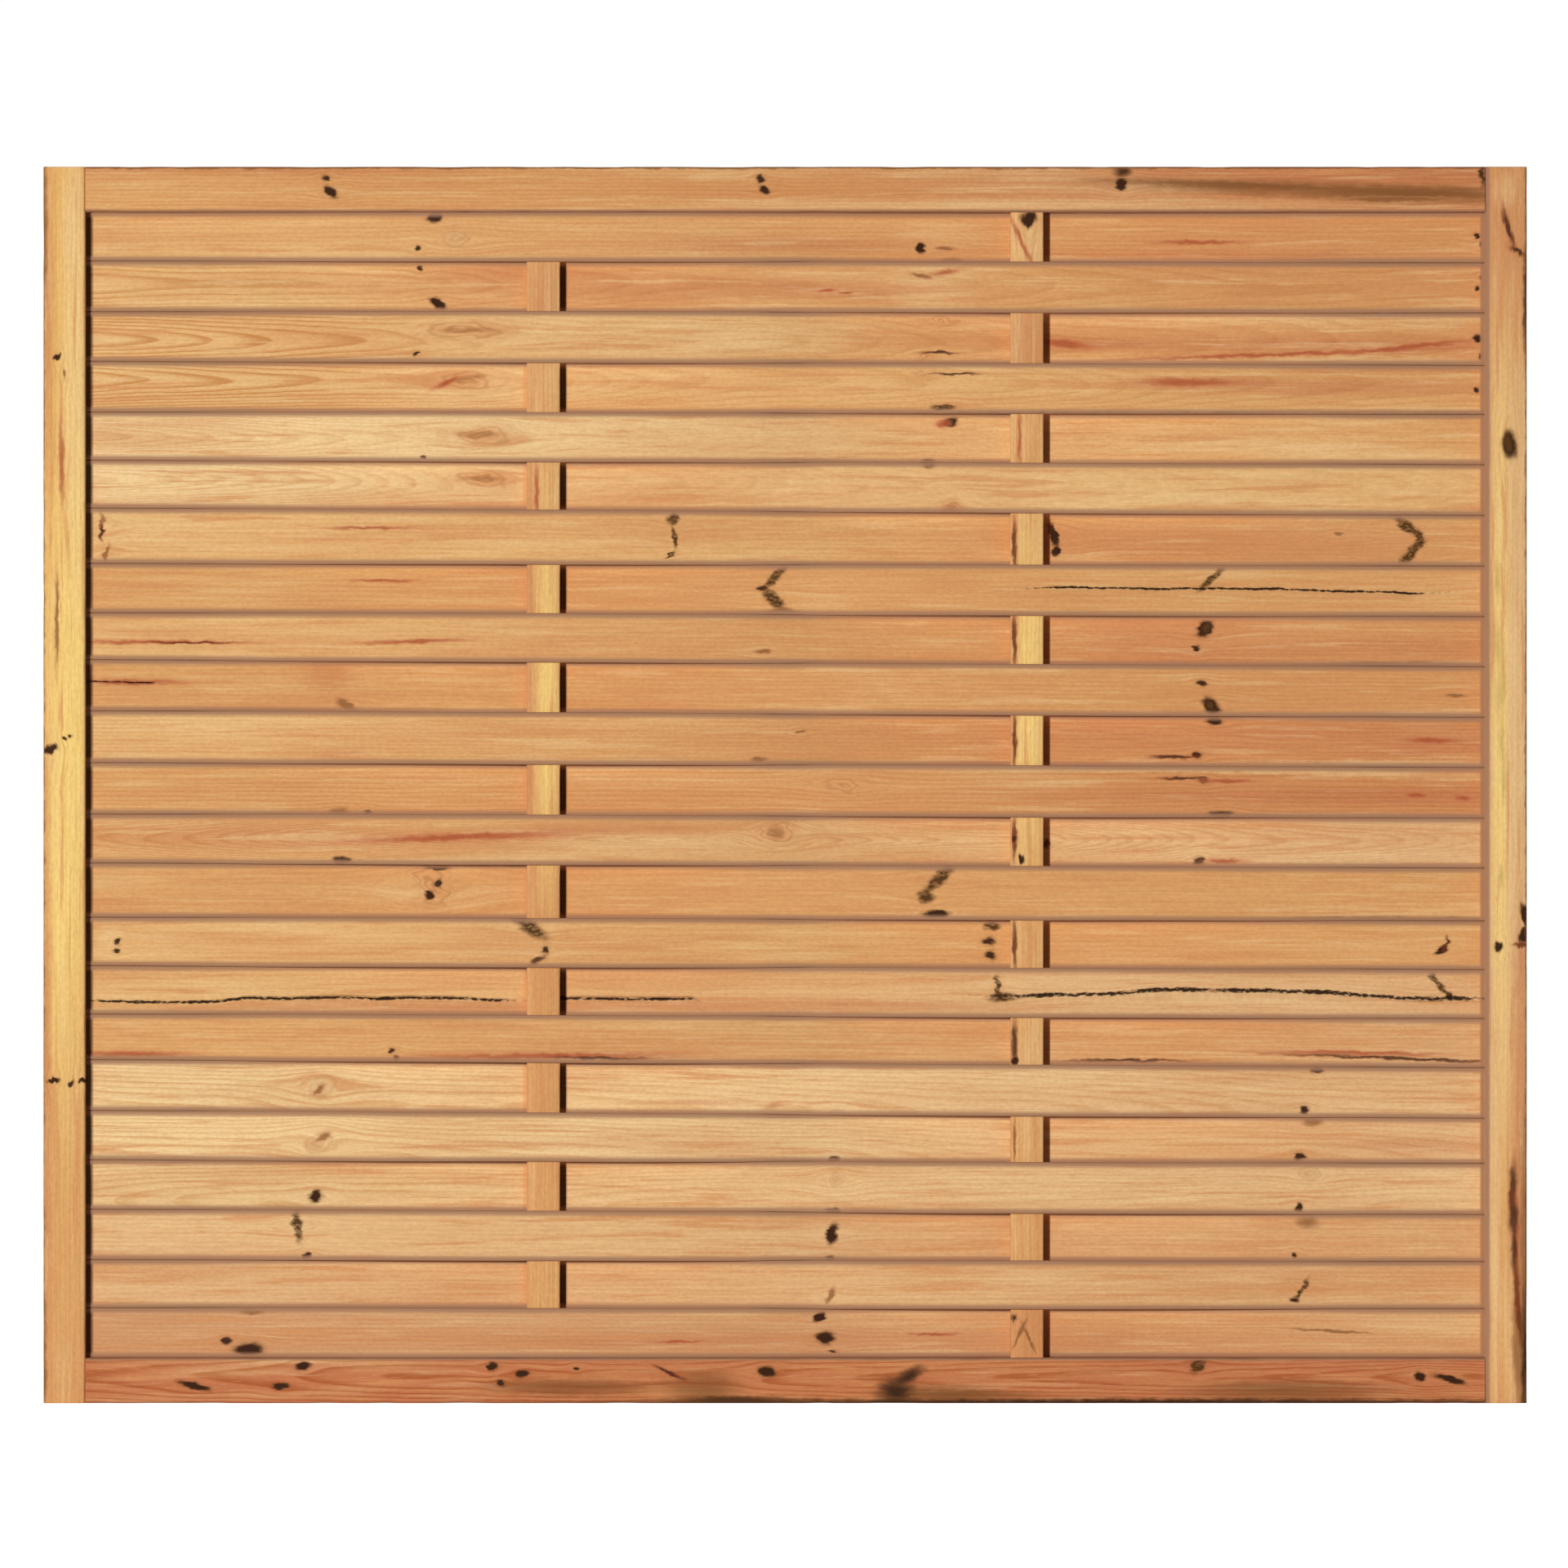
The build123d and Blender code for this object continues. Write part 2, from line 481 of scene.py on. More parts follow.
def make_rail(name, centre_z):
    """One rail with a tongue on each end."""
    board = draw_board(plain_section(FRAME_DEPTH, RAIL_HEIGHT), inner_width)
    round_long_edges(board, FRAME_DEPTH, RAIL_HEIGHT, FRAME_ARRIS, FRAME_ARRIS_STEPS)
    for through in (-TONGUE_THICKNESS / 2, TONGUE_THICKNESS / 2):
        cut_through(board, (0, through, 0), (0, 1, 0))
    cut_rings(board, inner_width, FRAME_RING_SPACING)
    for end_x, way in ((0.0, -1), (inner_width, 1)):
        strips = [f for f in board.faces if abs(f.calc_center_median().x - end_x) < TOUCH
                  and abs(f.calc_center_median().y) < TONGUE_THICKNESS / 2]
        tongue = bmesh.ops.extrude_discrete_faces(board, faces=strips)
        tips = {v for f in tongue["faces"] for v in f.verts}
        bmesh.ops.translate(board, vec=(way * tongue_length, 0, 0), verts=list(tips))
    remember_places(board)
    wear_edges(board, FRAME_DEPTH, RAIL_HEIGHT, FRAME_ARRIS, EDGE_WEAR, centre_z * 10)
    bmesh.ops.translate(board, vec=(STILE_WIDTH, 0, centre_z), verts=board.verts)
    return finish_piece(board, f"{name}_timber", name)


pieces["top_rail"] = make_rail("top_rail", (rail_low.z + rail_high.z) / 2)
pieces["bottom_rail"] = make_rail("bottom_rail", RAIL_HEIGHT / 2)
print("rails", round(inner_width + 2 * tongue_length, 3), "m long over their tongues")

# %% [markdown]
# The battens are the plainest boards. They show only between the slats, and they carry the whole weave.

# %% The two battens
BATTEN_ARRIS = 2.0 * MM
BATTEN_ARRIS_STEPS = 3
batten_size = batten_high - batten_low


def make_batten(name, low):
    """One batten, stood up on the bottom rail."""
    board = draw_board(plain_section(batten_size.y, batten_size.x), batten_size.z)
    round_long_edges(board, batten_size.y, batten_size.x, BATTEN_ARRIS, BATTEN_ARRIS_STEPS)
    cut_rings(board, batten_size.z, FRAME_RING_SPACING)
    remember_places(board)
    stand_up(board, low.x + batten_size.x / 2)
    bmesh.ops.translate(board, vec=(0, 0, low.z), verts=board.verts)
    return finish_piece(board, f"{name}_board", name)


pieces["left_batten"] = make_batten("left_batten", batten_low)
pieces["right_batten"] = make_batten("right_batten", other_batten_low)
print("pieces so far", len(pieces))

# %% [markdown]
# Colours are written as a paint chart gives them, from 0 to 255, and turned into the linear numbers that a
# shader wants. A handful of pine tones is enough for the panel: a slat differs from its neighbour in which
# of them it has at its left and at its right end.

# %% Pine tones
def tone(red, green, blue):
    """Linear colour of an ordinary 0 to 255 colour."""
    linear = []
    for part in (red, green, blue):
        share = part / 255
        linear.append(share / 12.92 if share < 0.04045 else ((share + 0.055) / 1.055) ** 2.4)
    return (*linear, 1.0)


CREAM = tone(243, 212, 158)
PALE = tone(235, 200, 146)
HONEY = tone(229, 184, 124)
TAN = tone(222, 170, 110)
ORANGE = tone(215, 157, 101)
RUSSET = tone(208, 144, 92)
BRICK = tone(196, 122, 82)
CLAY = tone(198, 130, 84)
STRAW = tone(228, 178, 104)
GOLD = tone(248, 216, 132)
SAND = tone(228, 186, 136)
FAWN = tone(220, 172, 121)
ROSEWOOD = tone(210, 161, 117)
# The next three also serve as painted shade: beside the stile and the battens, and inside open splits.
STREAK_AND_SHADOW_RED = tone(160, 66, 34)
DARK_MARK_AND_SHADE_BROWN = tone(38, 20, 10)
STREAK_AND_SHADOW_BROWN = tone(92, 42, 14)
KNOT_BLACK = tone(44, 20, 6)
KNOT_BROWN = tone(120, 74, 38)
KNOT_HEART = tone(110, 74, 32)
SPIKE_OLIVE = tone(70, 44, 12)
STAIN_BROWN = tone(120, 76, 38)
MOULD_GREEN = tone(160, 134, 66)
# Painted shade of the joints between timbers, in grey-brown.
JOINT_SHADE_GREY = tone(158, 117, 90)

# %% [markdown]
# Node trees get long, and most of their lines would be the same four: make a node, set it, fill its inputs,
# link it. Two small helpers do that, so that the lines below read like the sums they stand for.

# %% Helpers for node trees
def add_node(tree, kind, inputs=None, **settings):
    """Makes a node; inputs maps a socket's name or number to a value or to another node's output."""
    made = tree.nodes.new(kind)
    for name, value in settings.items():
        setattr(made, name, value)
    for socket, value in (inputs or {}).items():
        if isinstance(value, bpy.types.NodeSocket):
            tree.links.new(value, made.inputs[socket])
        else:
            made.inputs[socket].default_value = value
    return made


def sum_of(tree, operation, first, second=0.0, third=0.0):
    """Output of a Math node."""
    return add_node(tree, "ShaderNodeMath", {0: first, 1: second, 2: third}, operation=operation).outputs[0]


def vector_sum(tree, operation, first, second=(0.0, 0.0, 0.0)):
    """Vector output of a Vector Math node."""
    made = add_node(tree, "ShaderNodeVectorMath", {0: first, 1: second}, operation=operation)
    return made.outputs["Value" if operation == "LENGTH" else "Vector"]


def blend_colours(tree, factor, first, second, kind="MIX"):
    """Colour output of a Mix node."""
    made = add_node(tree, "ShaderNodeMix", {0: factor, 6: first, 7: second}, data_type="RGBA",
                    blend_type=kind)
    return made.outputs[2]


def remap(tree, value, low, high, to_low=0.0, to_high=1.0, smooth=True):
    """Output of a Map Range node."""
    made = add_node(tree, "ShaderNodeMapRange", {0: value, 1: low, 2: high, 3: to_low, 4: to_high},
                    interpolation_type="SMOOTHSTEP" if smooth else "LINEAR")
    return made.outputs[0]


def stretched_noise(tree, place, stretch, detail=2.0, roughness=0.5, seed=0.0):
    """Noise whose cells are stretched; stretch is cells in a metre along, across and through."""
    scaled = vector_sum(tree, "MULTIPLY_ADD", place, stretch)
    scaled.node.inputs[2].default_value = (seed * 13.7, seed * 7.3, seed * 3.1)
    return add_node(tree, "ShaderNodeTexNoise", {"Vector": scaled, "Scale": 1.0, "Detail": detail,
                                                 "Roughness": roughness})


def new_material(name):
    """A material and its node tree, still empty."""
    material = bpy.data.materials.new(name)
    material.use_nodes = True
    material.node_tree.nodes.clear()
    return material, material.node_tree

# %% [markdown]
# Grain is what is left of a tree's yearly rings when a saw goes through them. The rings are tubes round the
# pith, so a board's pattern is its distance from the pith, folded over and over at the width of one ring.
# Where the pith runs level with the board the lines are straight; where it leans they close into arches.
# A Wave texture would give stripes, but never those arches.

# %% A group for the yearly rings
def new_group(name, inputs, outputs):
    """An empty shader group with these sockets, given as name: kind."""
    group = bpy.data.node_groups.new(name, "ShaderNodeTree")
    for label, kind in inputs.items():
        group.interface.new_socket(label, in_out="INPUT", socket_type=f"NodeSocket{kind}")
    for label, kind in outputs.items():
        group.interface.new_socket(label, in_out="OUTPUT", socket_type=f"NodeSocket{kind}")
    return group, group.nodes.new("NodeGroupInput"), group.nodes.new("NodeGroupOutput")


def make_ring_group():
    """Late wood from 0 to 1, from the distance to the pith."""
    group, given, result = new_group(
        "yearly_rings",
        {"Place": "Vector", "Pith across": "Float", "Pith depth": "Float", "Lean": "Float",
         "Ring width": "Float", "Shift": "Vector"},
        {"Late wood": "Float"},
    )
    place = given.outputs["Place"]
    parts = add_node(group, "ShaderNodeSeparateXYZ", {0: place})
    place_of_board = vector_sum(group, "ADD", place, given.outputs["Shift"])
    slow = stretched_noise(group, place_of_board, (2.6, 9.0, 9.0), 1.0, 0.5)
    quick = stretched_noise(group, place_of_board, (14.0, 60.0, 60.0), 2.0, 0.5, 5.0)
    sway = sum_of(group, "MULTIPLY_ADD", slow.outputs[0], 0.016, -0.008)
    shiver = sum_of(group, "MULTIPLY_ADD", quick.outputs[0], 0.0034, -0.0017)
    aside = sum_of(group, "SUBTRACT", parts.outputs[1], given.outputs["Pith across"])
    aside = sum_of(group, "ADD", aside, shiver)
    below = sum_of(group, "MULTIPLY_ADD", parts.outputs[0], given.outputs["Lean"],
                   given.outputs["Pith depth"])
    below = sum_of(group, "ADD", sum_of(group, "ADD", below, sway), parts.outputs[2])
    spot = add_node(group, "ShaderNodeCombineXYZ", {0: aside, 1: below})
    radius = vector_sum(group, "LENGTH", spot.outputs[0])
    turns = sum_of(group, "DIVIDE", radius, given.outputs["Ring width"])
    share = sum_of(group, "FRACT", turns)
    rise = remap(group, share, 0.3, 0.88)
    fall = remap(group, share, 0.92, 1.0, 1.0, 0.0)
    late = sum_of(group, "MULTIPLY", sum_of(group, "POWER", rise, 1.6), fall)
    group.links.new(late, result.inputs["Late wood"])
    return group


RINGS = make_ring_group()
print("nodes in the ring group:", len(RINGS.nodes))

# %% [markdown]
# A knot is a branch, and the rings part round it like water round a stone. The pattern does the same if the
# places near the knot are drawn towards it before the rings are worked out. Chaining one such group for
# each knot bends the grain round them all.

# %% A group that parts the grain round a knot
def make_parting_group():
    """Pulls places across the board towards a knot, most at its middle."""
    group, given, result = new_group(
        "grain_round_knot",
        {"Place": "Vector", "Knot": "Vector", "Reach": "Vector"},
        {"Place": "Vector"},
    )
    apart = vector_sum(group, "SUBTRACT", given.outputs["Place"], given.outputs["Knot"])
    scaled = vector_sum(group, "MULTIPLY", apart, given.outputs["Reach"])
    distance = vector_sum(group, "LENGTH", scaled)
    square = sum_of(group, "MULTIPLY", distance, distance)
    pull = sum_of(group, "POWER", 0.3, square)
    pulled = add_node(group, "ShaderNodeVectorMath", {0: apart, "Scale": pull}, operation="SCALE")
    across_only = vector_sum(group, "MULTIPLY", pulled.outputs[0], (0.0, 1.0, 0.0))
    group.links.new(vector_sum(group, "SUBTRACT", given.outputs["Place"], across_only),
                    result.inputs["Place"])
    return group


def make_mark_group():
    """Distance from a turned ellipse, 1 on its outline, and a mask that is 1 inside."""
    group, given, result = new_group(
        "mark",
        {"Place": "Vector", "Centre": "Vector", "Turn": "Float", "Inverse size": "Vector",
         "Softness": "Float"},
        {"Mask": "Float", "Distance": "Float"},
    )
    apart = vector_sum(group, "SUBTRACT", given.outputs["Place"], given.outputs["Centre"])
    turned = add_node(group, "ShaderNodeVectorRotate", {"Vector": apart, "Angle": given.outputs["Turn"]},
                      rotation_type="Z_AXIS")
    scaled = vector_sum(group, "MULTIPLY", turned.outputs[0], given.outputs["Inverse size"])
    distance = vector_sum(group, "LENGTH", scaled)
    outer = sum_of(group, "ADD", 1.0, given.outputs["Softness"])
    inner = sum_of(group, "SUBTRACT", 1.0, given.outputs["Softness"])
    mask = remap(group, distance, outer, inner)
    group.links.new(mask, result.inputs["Mask"])
    group.links.new(distance, result.inputs["Distance"])
    return group


PARTING = make_parting_group()
MARK = make_mark_group()
print("groups", [group.name for group in bpy.data.node_groups])

# %% [markdown]
# What a knot, a split or a resin streak looks like is decided once for each kind. Each entry gives the
# colour inside, how strongly it covers the wood, how soft its outline is, and the colour and reach of the
# halo round it. Adding a mark to a board is then only a place and a size.

# %% Kinds of marks in the wood
MARK_KINDS = {
    # kind: (colour, cover, softness, halo colour, halo cover, halo reach)
    "knot": (KNOT_BLACK, 0.96, 0.3, KNOT_BROWN, 0.75, 1.7),
    "pin": (KNOT_BLACK, 0.94, 0.38, KNOT_BROWN, 0.5, 2.0),
    "brown": (KNOT_BROWN, 0.72, 0.5, RUSSET, 0.5, 2.0),
    "heart": (KNOT_HEART, 0.4, 0.5, KNOT_HEART, 0.0, 1.5),
    "ring": (ORANGE, 0.3, 0.6, RUSSET, 0.3, 2.2),
    "eye": (FAWN, 0.35, 0.4, KNOT_BROWN, 0.12, 1.3),
    "spike": (SPIKE_OLIVE, 0.86, 0.4, KNOT_BROWN, 0.45, 1.7),
    "red": (STREAK_AND_SHADOW_RED, 0.72, 0.75, BRICK, 0.45, 2.6),
    "dark": (DARK_MARK_AND_SHADE_BROWN, 0.85, 0.6, STREAK_AND_SHADOW_RED, 0.4, 2.2),
    "rosy": (BRICK, 0.5, 0.9, BRICK, 0.0, 1.5),
    "warm": (ORANGE, 0.5, 0.9, ORANGE, 0.0, 1.5),
    "stain": (STAIN_BROWN, 0.6, 0.85, STAIN_BROWN, 0.25, 2.0),
    "pale": (PALE, 0.4, 0.85, PALE, 0.2, 1.8),
    "gold": (GOLD, 0.88, 0.9, GOLD, 0.0, 1.6),
    # edge is painted shade in grey-brown along a joint where two timbers meet.
    "edge": (JOINT_SHADE_GREY, 0.95, 0.5, JOINT_SHADE_GREY, 0.0, 1.6),
    "black": (DARK_MARK_AND_SHADE_BROWN, 0.9, 0.8, STAIN_BROWN, 0.6, 2.0),
    "mould": (MOULD_GREEN, 0.42, 0.9, MOULD_GREEN, 0.0, 1.5),
    "rim": (STAIN_BROWN, 0.6, 0.85, STAIN_BROWN, 0.25, 2.0),
    "dark_streak": (STREAK_AND_SHADOW_BROWN, 0.85, 0.6, STREAK_AND_SHADOW_RED, 0.4, 1.8),
    # The next three kinds are painted shade: shadow right of a stile or batten, a fainter shadow, and shade
    # left of a batten.
    "grime": (DARK_MARK_AND_SHADE_BROWN, 0.85, 0.4, STREAK_AND_SHADOW_RED, 0.3, 1.5),
    "dusk": (STREAK_AND_SHADOW_BROWN, 0.45, 0.4, STREAK_AND_SHADOW_RED, 0.25, 1.5),
    "seam": (RUSSET, 0.55, 0.7, RUSSET, 0.0, 1.5),
}
ROUND_KINDS = ("knot", "pin", "brown", "ring", "eye", "spike")
RULED_KINDS = ("grime", "dusk", "seam", "edge")
WASH_KINDS = ("pale", "gold", "rosy", "warm")
CLOUDY_KINDS = ("stain", "mould")
FRONT_KINDS = ("grime", "dusk", "seam", "edge", "rim")
print("kinds of marks", len(MARK_KINDS))

# %% [markdown]
# A mark is painted by distance. The group says how far each place lies from its turned ellipse, and that
# one number gives the mask of the inside, the fading of the halo and the thin lines round a healed knot. A
# mark has a depth too: a knot goes far into a timber and right through a slat, and painted shade and dark
# rims lie only on the face.

# %% Paint one mark
SKIN_DEPTH, STAIN_DEPTH, KNOT_DEPTH = 4.0, 14.0, 40.0
LINE_COVER = {"ring": 0.3, "eye": 0.15}      # how strongly the thin lines round a ring or an eye show
LINES_IN_A_RING = 3.1


def mark_depth(kind, half_depth):
    """How deep a mark goes, in mm; None for one that goes through the board."""
    if kind in FRONT_KINDS:
        return SKIN_DEPTH
    if half_depth < SLAT_THICKNESS:
        return None
    return KNOT_DEPTH if kind in ROUND_KINDS else STAIN_DEPTH


def add_mark(tree, colour, place, mark, half_depth, patches=None):
    """Paints one mark over a colour; patches is a noise that breaks up a spike."""
    kind, along, across, half_length, half_height, *turn = mark
    inside, cover, softness, halo, halo_cover, reach = MARK_KINDS[kind]
    depth = mark_depth(kind, half_depth)
    inverse_size = [1 / (size * MM) if size else 0.0 for size in (half_length, half_height, depth)]
    group = add_node(tree, "ShaderNodeGroup",
                     {"Place": place, "Centre": (along * MM, across * MM, -half_depth),
                      "Turn": -math.radians(turn[0]) if turn else 0.0, "Inverse size": inverse_size,
                      "Softness": softness}, node_tree=MARK)
    distance = group.outputs["Distance"]
    if halo_cover:
        around = remap(tree, distance, reach, 0.7, 0.0, halo_cover)
        colour = blend_colours(tree, around, colour, halo)
    mask = sum_of(tree, "MULTIPLY", group.outputs["Mask"], cover)
    if kind == "spike" and patches:
        mask = sum_of(tree, "MULTIPLY", mask, remap(tree, patches, 0.36, 0.56, 0.62, 1.1))
    colour = blend_colours(tree, mask, colour, inside)
    if kind in LINE_COVER:
        circles = sum_of(tree, "PINGPONG", sum_of(tree, "MULTIPLY", distance, LINES_IN_A_RING), 1.0)
        fading = remap(tree, distance, 2.0, 0.5, 0.0, LINE_COVER[kind])
        lines = sum_of(tree, "MULTIPLY", remap(tree, circles, 0.35, 0.9), fading)
        colour = blend_colours(tree, lines, colour, KNOT_BROWN)
    return colour

# %% [markdown]
# A finish has to know where each point of its board lies, and the board attribute says so. Outlines drawn
# straight on it would look as if made with compasses. Moving the places a little by a noise, before an
# outline is worked out from them, lets it shiver as a real one does.

# %% Places that shiver
# Cells of a noise in a metre along, across and through the board, and how far it moves a place, in metres
SHIVER_CELLS, SHIVER_REACH = (60.0, 130.0, 130.0), (0.015, 0.0072, 0.0)
SWIRL_CELLS, SWIRL_REACH = (26.0, 75.0, 75.0), (0.05, 0.022, 0.0)


def loosened(tree, board, cells, reach, detail, roughness, seed):
    """The board's places, each moved a little by a noise."""
    moved = stretched_noise(tree, board, cells, detail, roughness, seed)
    offset = vector_sum(tree, "SUBTRACT", moved.outputs["Color"], (0.5, 0.5, 0.5))
    return vector_sum(tree, "ADD", board, vector_sum(tree, "MULTIPLY", offset, reach))

# %% [markdown]
# The grain of one board is a chain of those groups. Its places are drawn together at each knot, and the ring
# group turns what comes out into late wood. Each board gets a shift of its own, as if from another tree.

# %% The grain of one board
def part_grain(tree, place, marks):
    """The places of a board, drawn together at each of its knots."""
    for kind, along, across, half_length, half_height, *_ in marks:
        if kind in ROUND_KINDS:
            reach_along = (1.8 * half_length + 2.5 * half_height) * MM
            reach_across = (1.4 * half_height + 5.0) * MM
            knot = add_node(tree, "ShaderNodeGroup",
                            {"Place": place, "Knot": (along * MM, across * MM, 0.0),
                             "Reach": (1 / reach_along, 1 / reach_across, 0.0)}, node_tree=PARTING)
            place = knot.outputs["Place"]
    return place


def late_wood(tree, place, rings, seed):
    """How much late wood there is at each place, from 0 to 1."""
    grain = add_node(tree, "ShaderNodeGroup",
                     {"Place": place, "Pith across": rings["across"] * MM,
                      "Pith depth": rings["depth"] * MM, "Lean": rings["lean"],
                      "Ring width": rings["width"] * MM, "Shift": (seed * 1.3, seed * 0.7, 0.0)},
                     node_tree=RINGS)
    return grain.outputs["Late wood"]

# %% [markdown]
# The clean wood is laid on in thin coats. The early wood between the rings comes first: the tones of the
# board's two ends, clouds of warmer and paler wood, and the broad washes. The late wood then darkens it by a
# tint. Over both lie what the eye reads as wood: long fibres, tiny flecks of resin and flame-shaped streaks.

# %% Colour of the clean wood
CLOUD_CELLS = (2.2, 26.0, 26.0)
FIBRE_CELLS = (11.0, 620.0, 620.0)
FLECK_CELLS = (55.0, 900.0, 900.0)
MOTTLE_CELLS = (160.0, 320.0, 320.0)
FLAME_CELLS = (6.0, 125.0, 125.0)
LATE_TINT = tone(222, 192, 160)
FIBRE_DARK, FIBRE_LIGHT = tone(246, 240, 233), tone(255, 255, 255)


def early_wood(tree, ends, share, place, seed):
    """The tones of both ends, with clouds of warmer and of paler wood."""
    cloud = stretched_noise(tree, place, CLOUD_CELLS, 2.0, 0.55, seed + 3).outputs[0]
    colour = blend_colours(tree, share, *ends)
    colour = blend_colours(tree, remap(tree, cloud, 0.42, 0.72, 0.0, 0.5), colour, RUSSET)
    return blend_colours(tree, remap(tree, cloud, 0.46, 0.25, 0.0, 0.45), colour, PALE)


def darken_late_wood(tree, colour, late, along, rings):
    """Tints the late wood, and does so less where the board is calm."""
    calm_from, calm_to, calm = rings["calm"]
    dark = blend_colours(tree, 1.0, colour, LATE_TINT, "MULTIPLY")
    liveliness = remap(tree, along, calm_from * MM, calm_to * MM, rings["strength"], calm)
    return blend_colours(tree, sum_of(tree, "MULTIPLY", late, liveliness), colour, dark)


def lay_fibres(tree, colour, fibre, mottle, place, glow, seed):
    """Fibres, flecks, flames and a faint mottle."""
    fleck = stretched_noise(tree, place, FLECK_CELLS, 0.0, 0.5, seed + 7).outputs[0]
    flame = stretched_noise(tree, place, FLAME_CELLS, 3.0, 0.62, seed + 11).outputs[0]
    fibre_tone = blend_colours(tree, remap(tree, fibre, 0.3, 0.7), FIBRE_DARK, FIBRE_LIGHT)
    colour = blend_colours(tree, 1.0, colour, fibre_tone, "MULTIPLY")
    colour = blend_colours(tree, remap(tree, fleck, 0.66, 0.78, 0.0, 0.4), colour, RUSSET)
    colour = blend_colours(tree, remap(tree, flame, 0.53, 0.67, 0.0, 0.68), colour, RUSSET)
    colour = blend_colours(tree, remap(tree, flame, 0.46, 0.33, 0.0, glow), colour, PALE)
    return blend_colours(tree, remap(tree, mottle, 0.35, 0.65, 0.0, 0.1), colour, KNOT_BROWN)

# %% [markdown]
# The marks go over the clean wood, stains and mould before the rest, so that no stain veils a knot. A mark
# with ruled sides, such as the painted shadow beside a stile, reads the board's own places, and the others
# read the shivering ones. Last come the painted shade of the joints and of the open splits.

# %% Marks, edges and splits
def paint_marks(tree, colour, marks, places, half_depth, mottle):
    """All marks but the washes; places are the board's own, the shivering and the swirling ones."""
    board, loose, swirling = places
    sharp = [mark for mark in marks if mark[0] not in WASH_KINDS]
    for mark in sorted(sharp, key=lambda mark: mark[0] not in CLOUDY_KINDS):
        spot = board if mark[0] in RULED_KINDS else swirling if mark[0] == "ring" else loose
        colour = add_mark(tree, colour, spot, mark, half_depth, mottle)
    return colour


def paint_joint_shade(tree, colour, across, half_width):
    """Painted shade of the joints, in grey-brown along both long edges."""
    edge = remap(tree, sum_of(tree, "ABSOLUTE", across), half_width - 8.4 * MM, half_width - 2.4 * MM,
                 0.0, 0.88)
    return blend_colours(tree, edge, colour, JOINT_SHADE_GREY)


def darken_splits(tree, colour, mottle):
    """Painted shade, near black, where the crack attribute says that a split is open."""
    crack = add_node(tree, "ShaderNodeAttribute", attribute_name="crack").outputs["Fac"]
    ragged = sum_of(tree, "MULTIPLY", crack, remap(tree, mottle, 0.32, 0.66, 0.62, 1.6))
    return blend_colours(tree, remap(tree, ragged, 0.08, 0.6, 0.0, 0.97), colour, DARK_MARK_AND_SHADE_BROWN)

# %% [markdown]
# One function makes the finish of any board from those coats. The late wood and the fibres also drive the
# gloss, and a noise as fine as the fibres drives a small bump. Every material has its own seed, so no two
# boards are alike.

# %% The pine finish
def make_pine(name, ends, length, rings, marks, half_depth, half_width=None):
    """A pine for one board; ends are its tones at the low and the high end."""
    material, tree = new_material(name)
    seed = 1.7 * len(bpy.data.materials)
    board = add_node(tree, "ShaderNodeAttribute", attribute_name="board").outputs["Vector"]
    along, across, _ = add_node(tree, "ShaderNodeSeparateXYZ", {0: board}).outputs
    loose = loosened(tree, board, SHIVER_CELLS, SHIVER_REACH, 2.0, 0.6, seed)
    swirling = loosened(tree, board, SWIRL_CELLS, SWIRL_REACH, 1.0, 0.55, seed + 1)
    place = part_grain(tree, board, marks)
    late = late_wood(tree, place, rings, seed)
    fibre = stretched_noise(tree, place, FIBRE_CELLS, 2.0, 0.65, seed + 5).outputs[0]
    mottle = stretched_noise(tree, board, MOTTLE_CELLS, 1.0, 0.6, seed + 9).outputs[0]

    colour = early_wood(tree, ends, remap(tree, along, 0.0, length), place, seed)
    for mark in marks:
        if mark[0] in WASH_KINDS:
            colour = add_mark(tree, colour, loose, mark, half_depth)
    colour = darken_late_wood(tree, colour, late, along, rings)
    colour = lay_fibres(tree, colour, fibre, mottle, place, rings["glow"], seed)
    colour = paint_marks(tree, colour, marks, (board, loose, swirling), half_depth, mottle)
    if half_width:
        colour = paint_joint_shade(tree, colour, across, half_width)
    colour = darken_splits(tree, colour, mottle)

    sheen = sum_of(tree, "MULTIPLY_ADD", late, -0.08, 0.7)
    roughness = sum_of(tree, "MULTIPLY_ADD", fibre, 0.14, sheen)
    relief = stretched_noise(tree, board, FIBRE_CELLS, 1.0, 0.65, seed + 5).outputs[0]
    bump = add_node(tree, "ShaderNodeBump", {"Height": relief, "Strength": 0.2, "Distance": 0.0006})
    shader = add_node(tree, "ShaderNodeBsdfPrincipled",
                      {"Base Color": colour, "Roughness": roughness, "Specular IOR Level": 0.1,
                       "Normal": bump.outputs[0]})
    add_node(tree, "ShaderNodeOutputMaterial", {0: shader.outputs[0]})
    return material

# %% [markdown]
# Two ways of sawing cover the whole panel. A board cut beside the pith shows straight lines; a board cut
# across it, with the pith leaning, shows the pointed arches called cathedral grain. Slats that were sawn
# one after the other from the same beam share their arches and their knots, as these plainly did.

# %% Ring settings
def arched(across=0, width=2.8, strength=0.8, depth=40, lean=0.03, calm=None, glow=0.36):
    """Arches that point to the high end, or to the low end with a negative lean.

    Calm says from where to where, in mm along the board, they die down, and how strong they stay. Glow is
    how strongly pale fibres shine through.
    """
    return {"across": across, "depth": depth, "lean": lean, "width": width, "strength": strength,
            "calm": calm or (0, 1, strength), "glow": glow}


def straight(across=120, width=4.2, strength=0.5):
    """Rings that run nearly level with the board; they show less than arches do."""
    return arched(across, width, 0.7 * strength, depth=30, lean=0.004, glow=0.28)

# %% [markdown]
# Here is what each slat has: its tones at both ends, its rings, and its marks. A mark says what it is, how
# far it lies from the panel's left edge, how far above or below the slat's middle, its half length and half
# height, all in millimetres, and how many degrees it is turned, if it is. They were read off the photograph
# one by one. First come the slats at the top, which have the boldest arches.

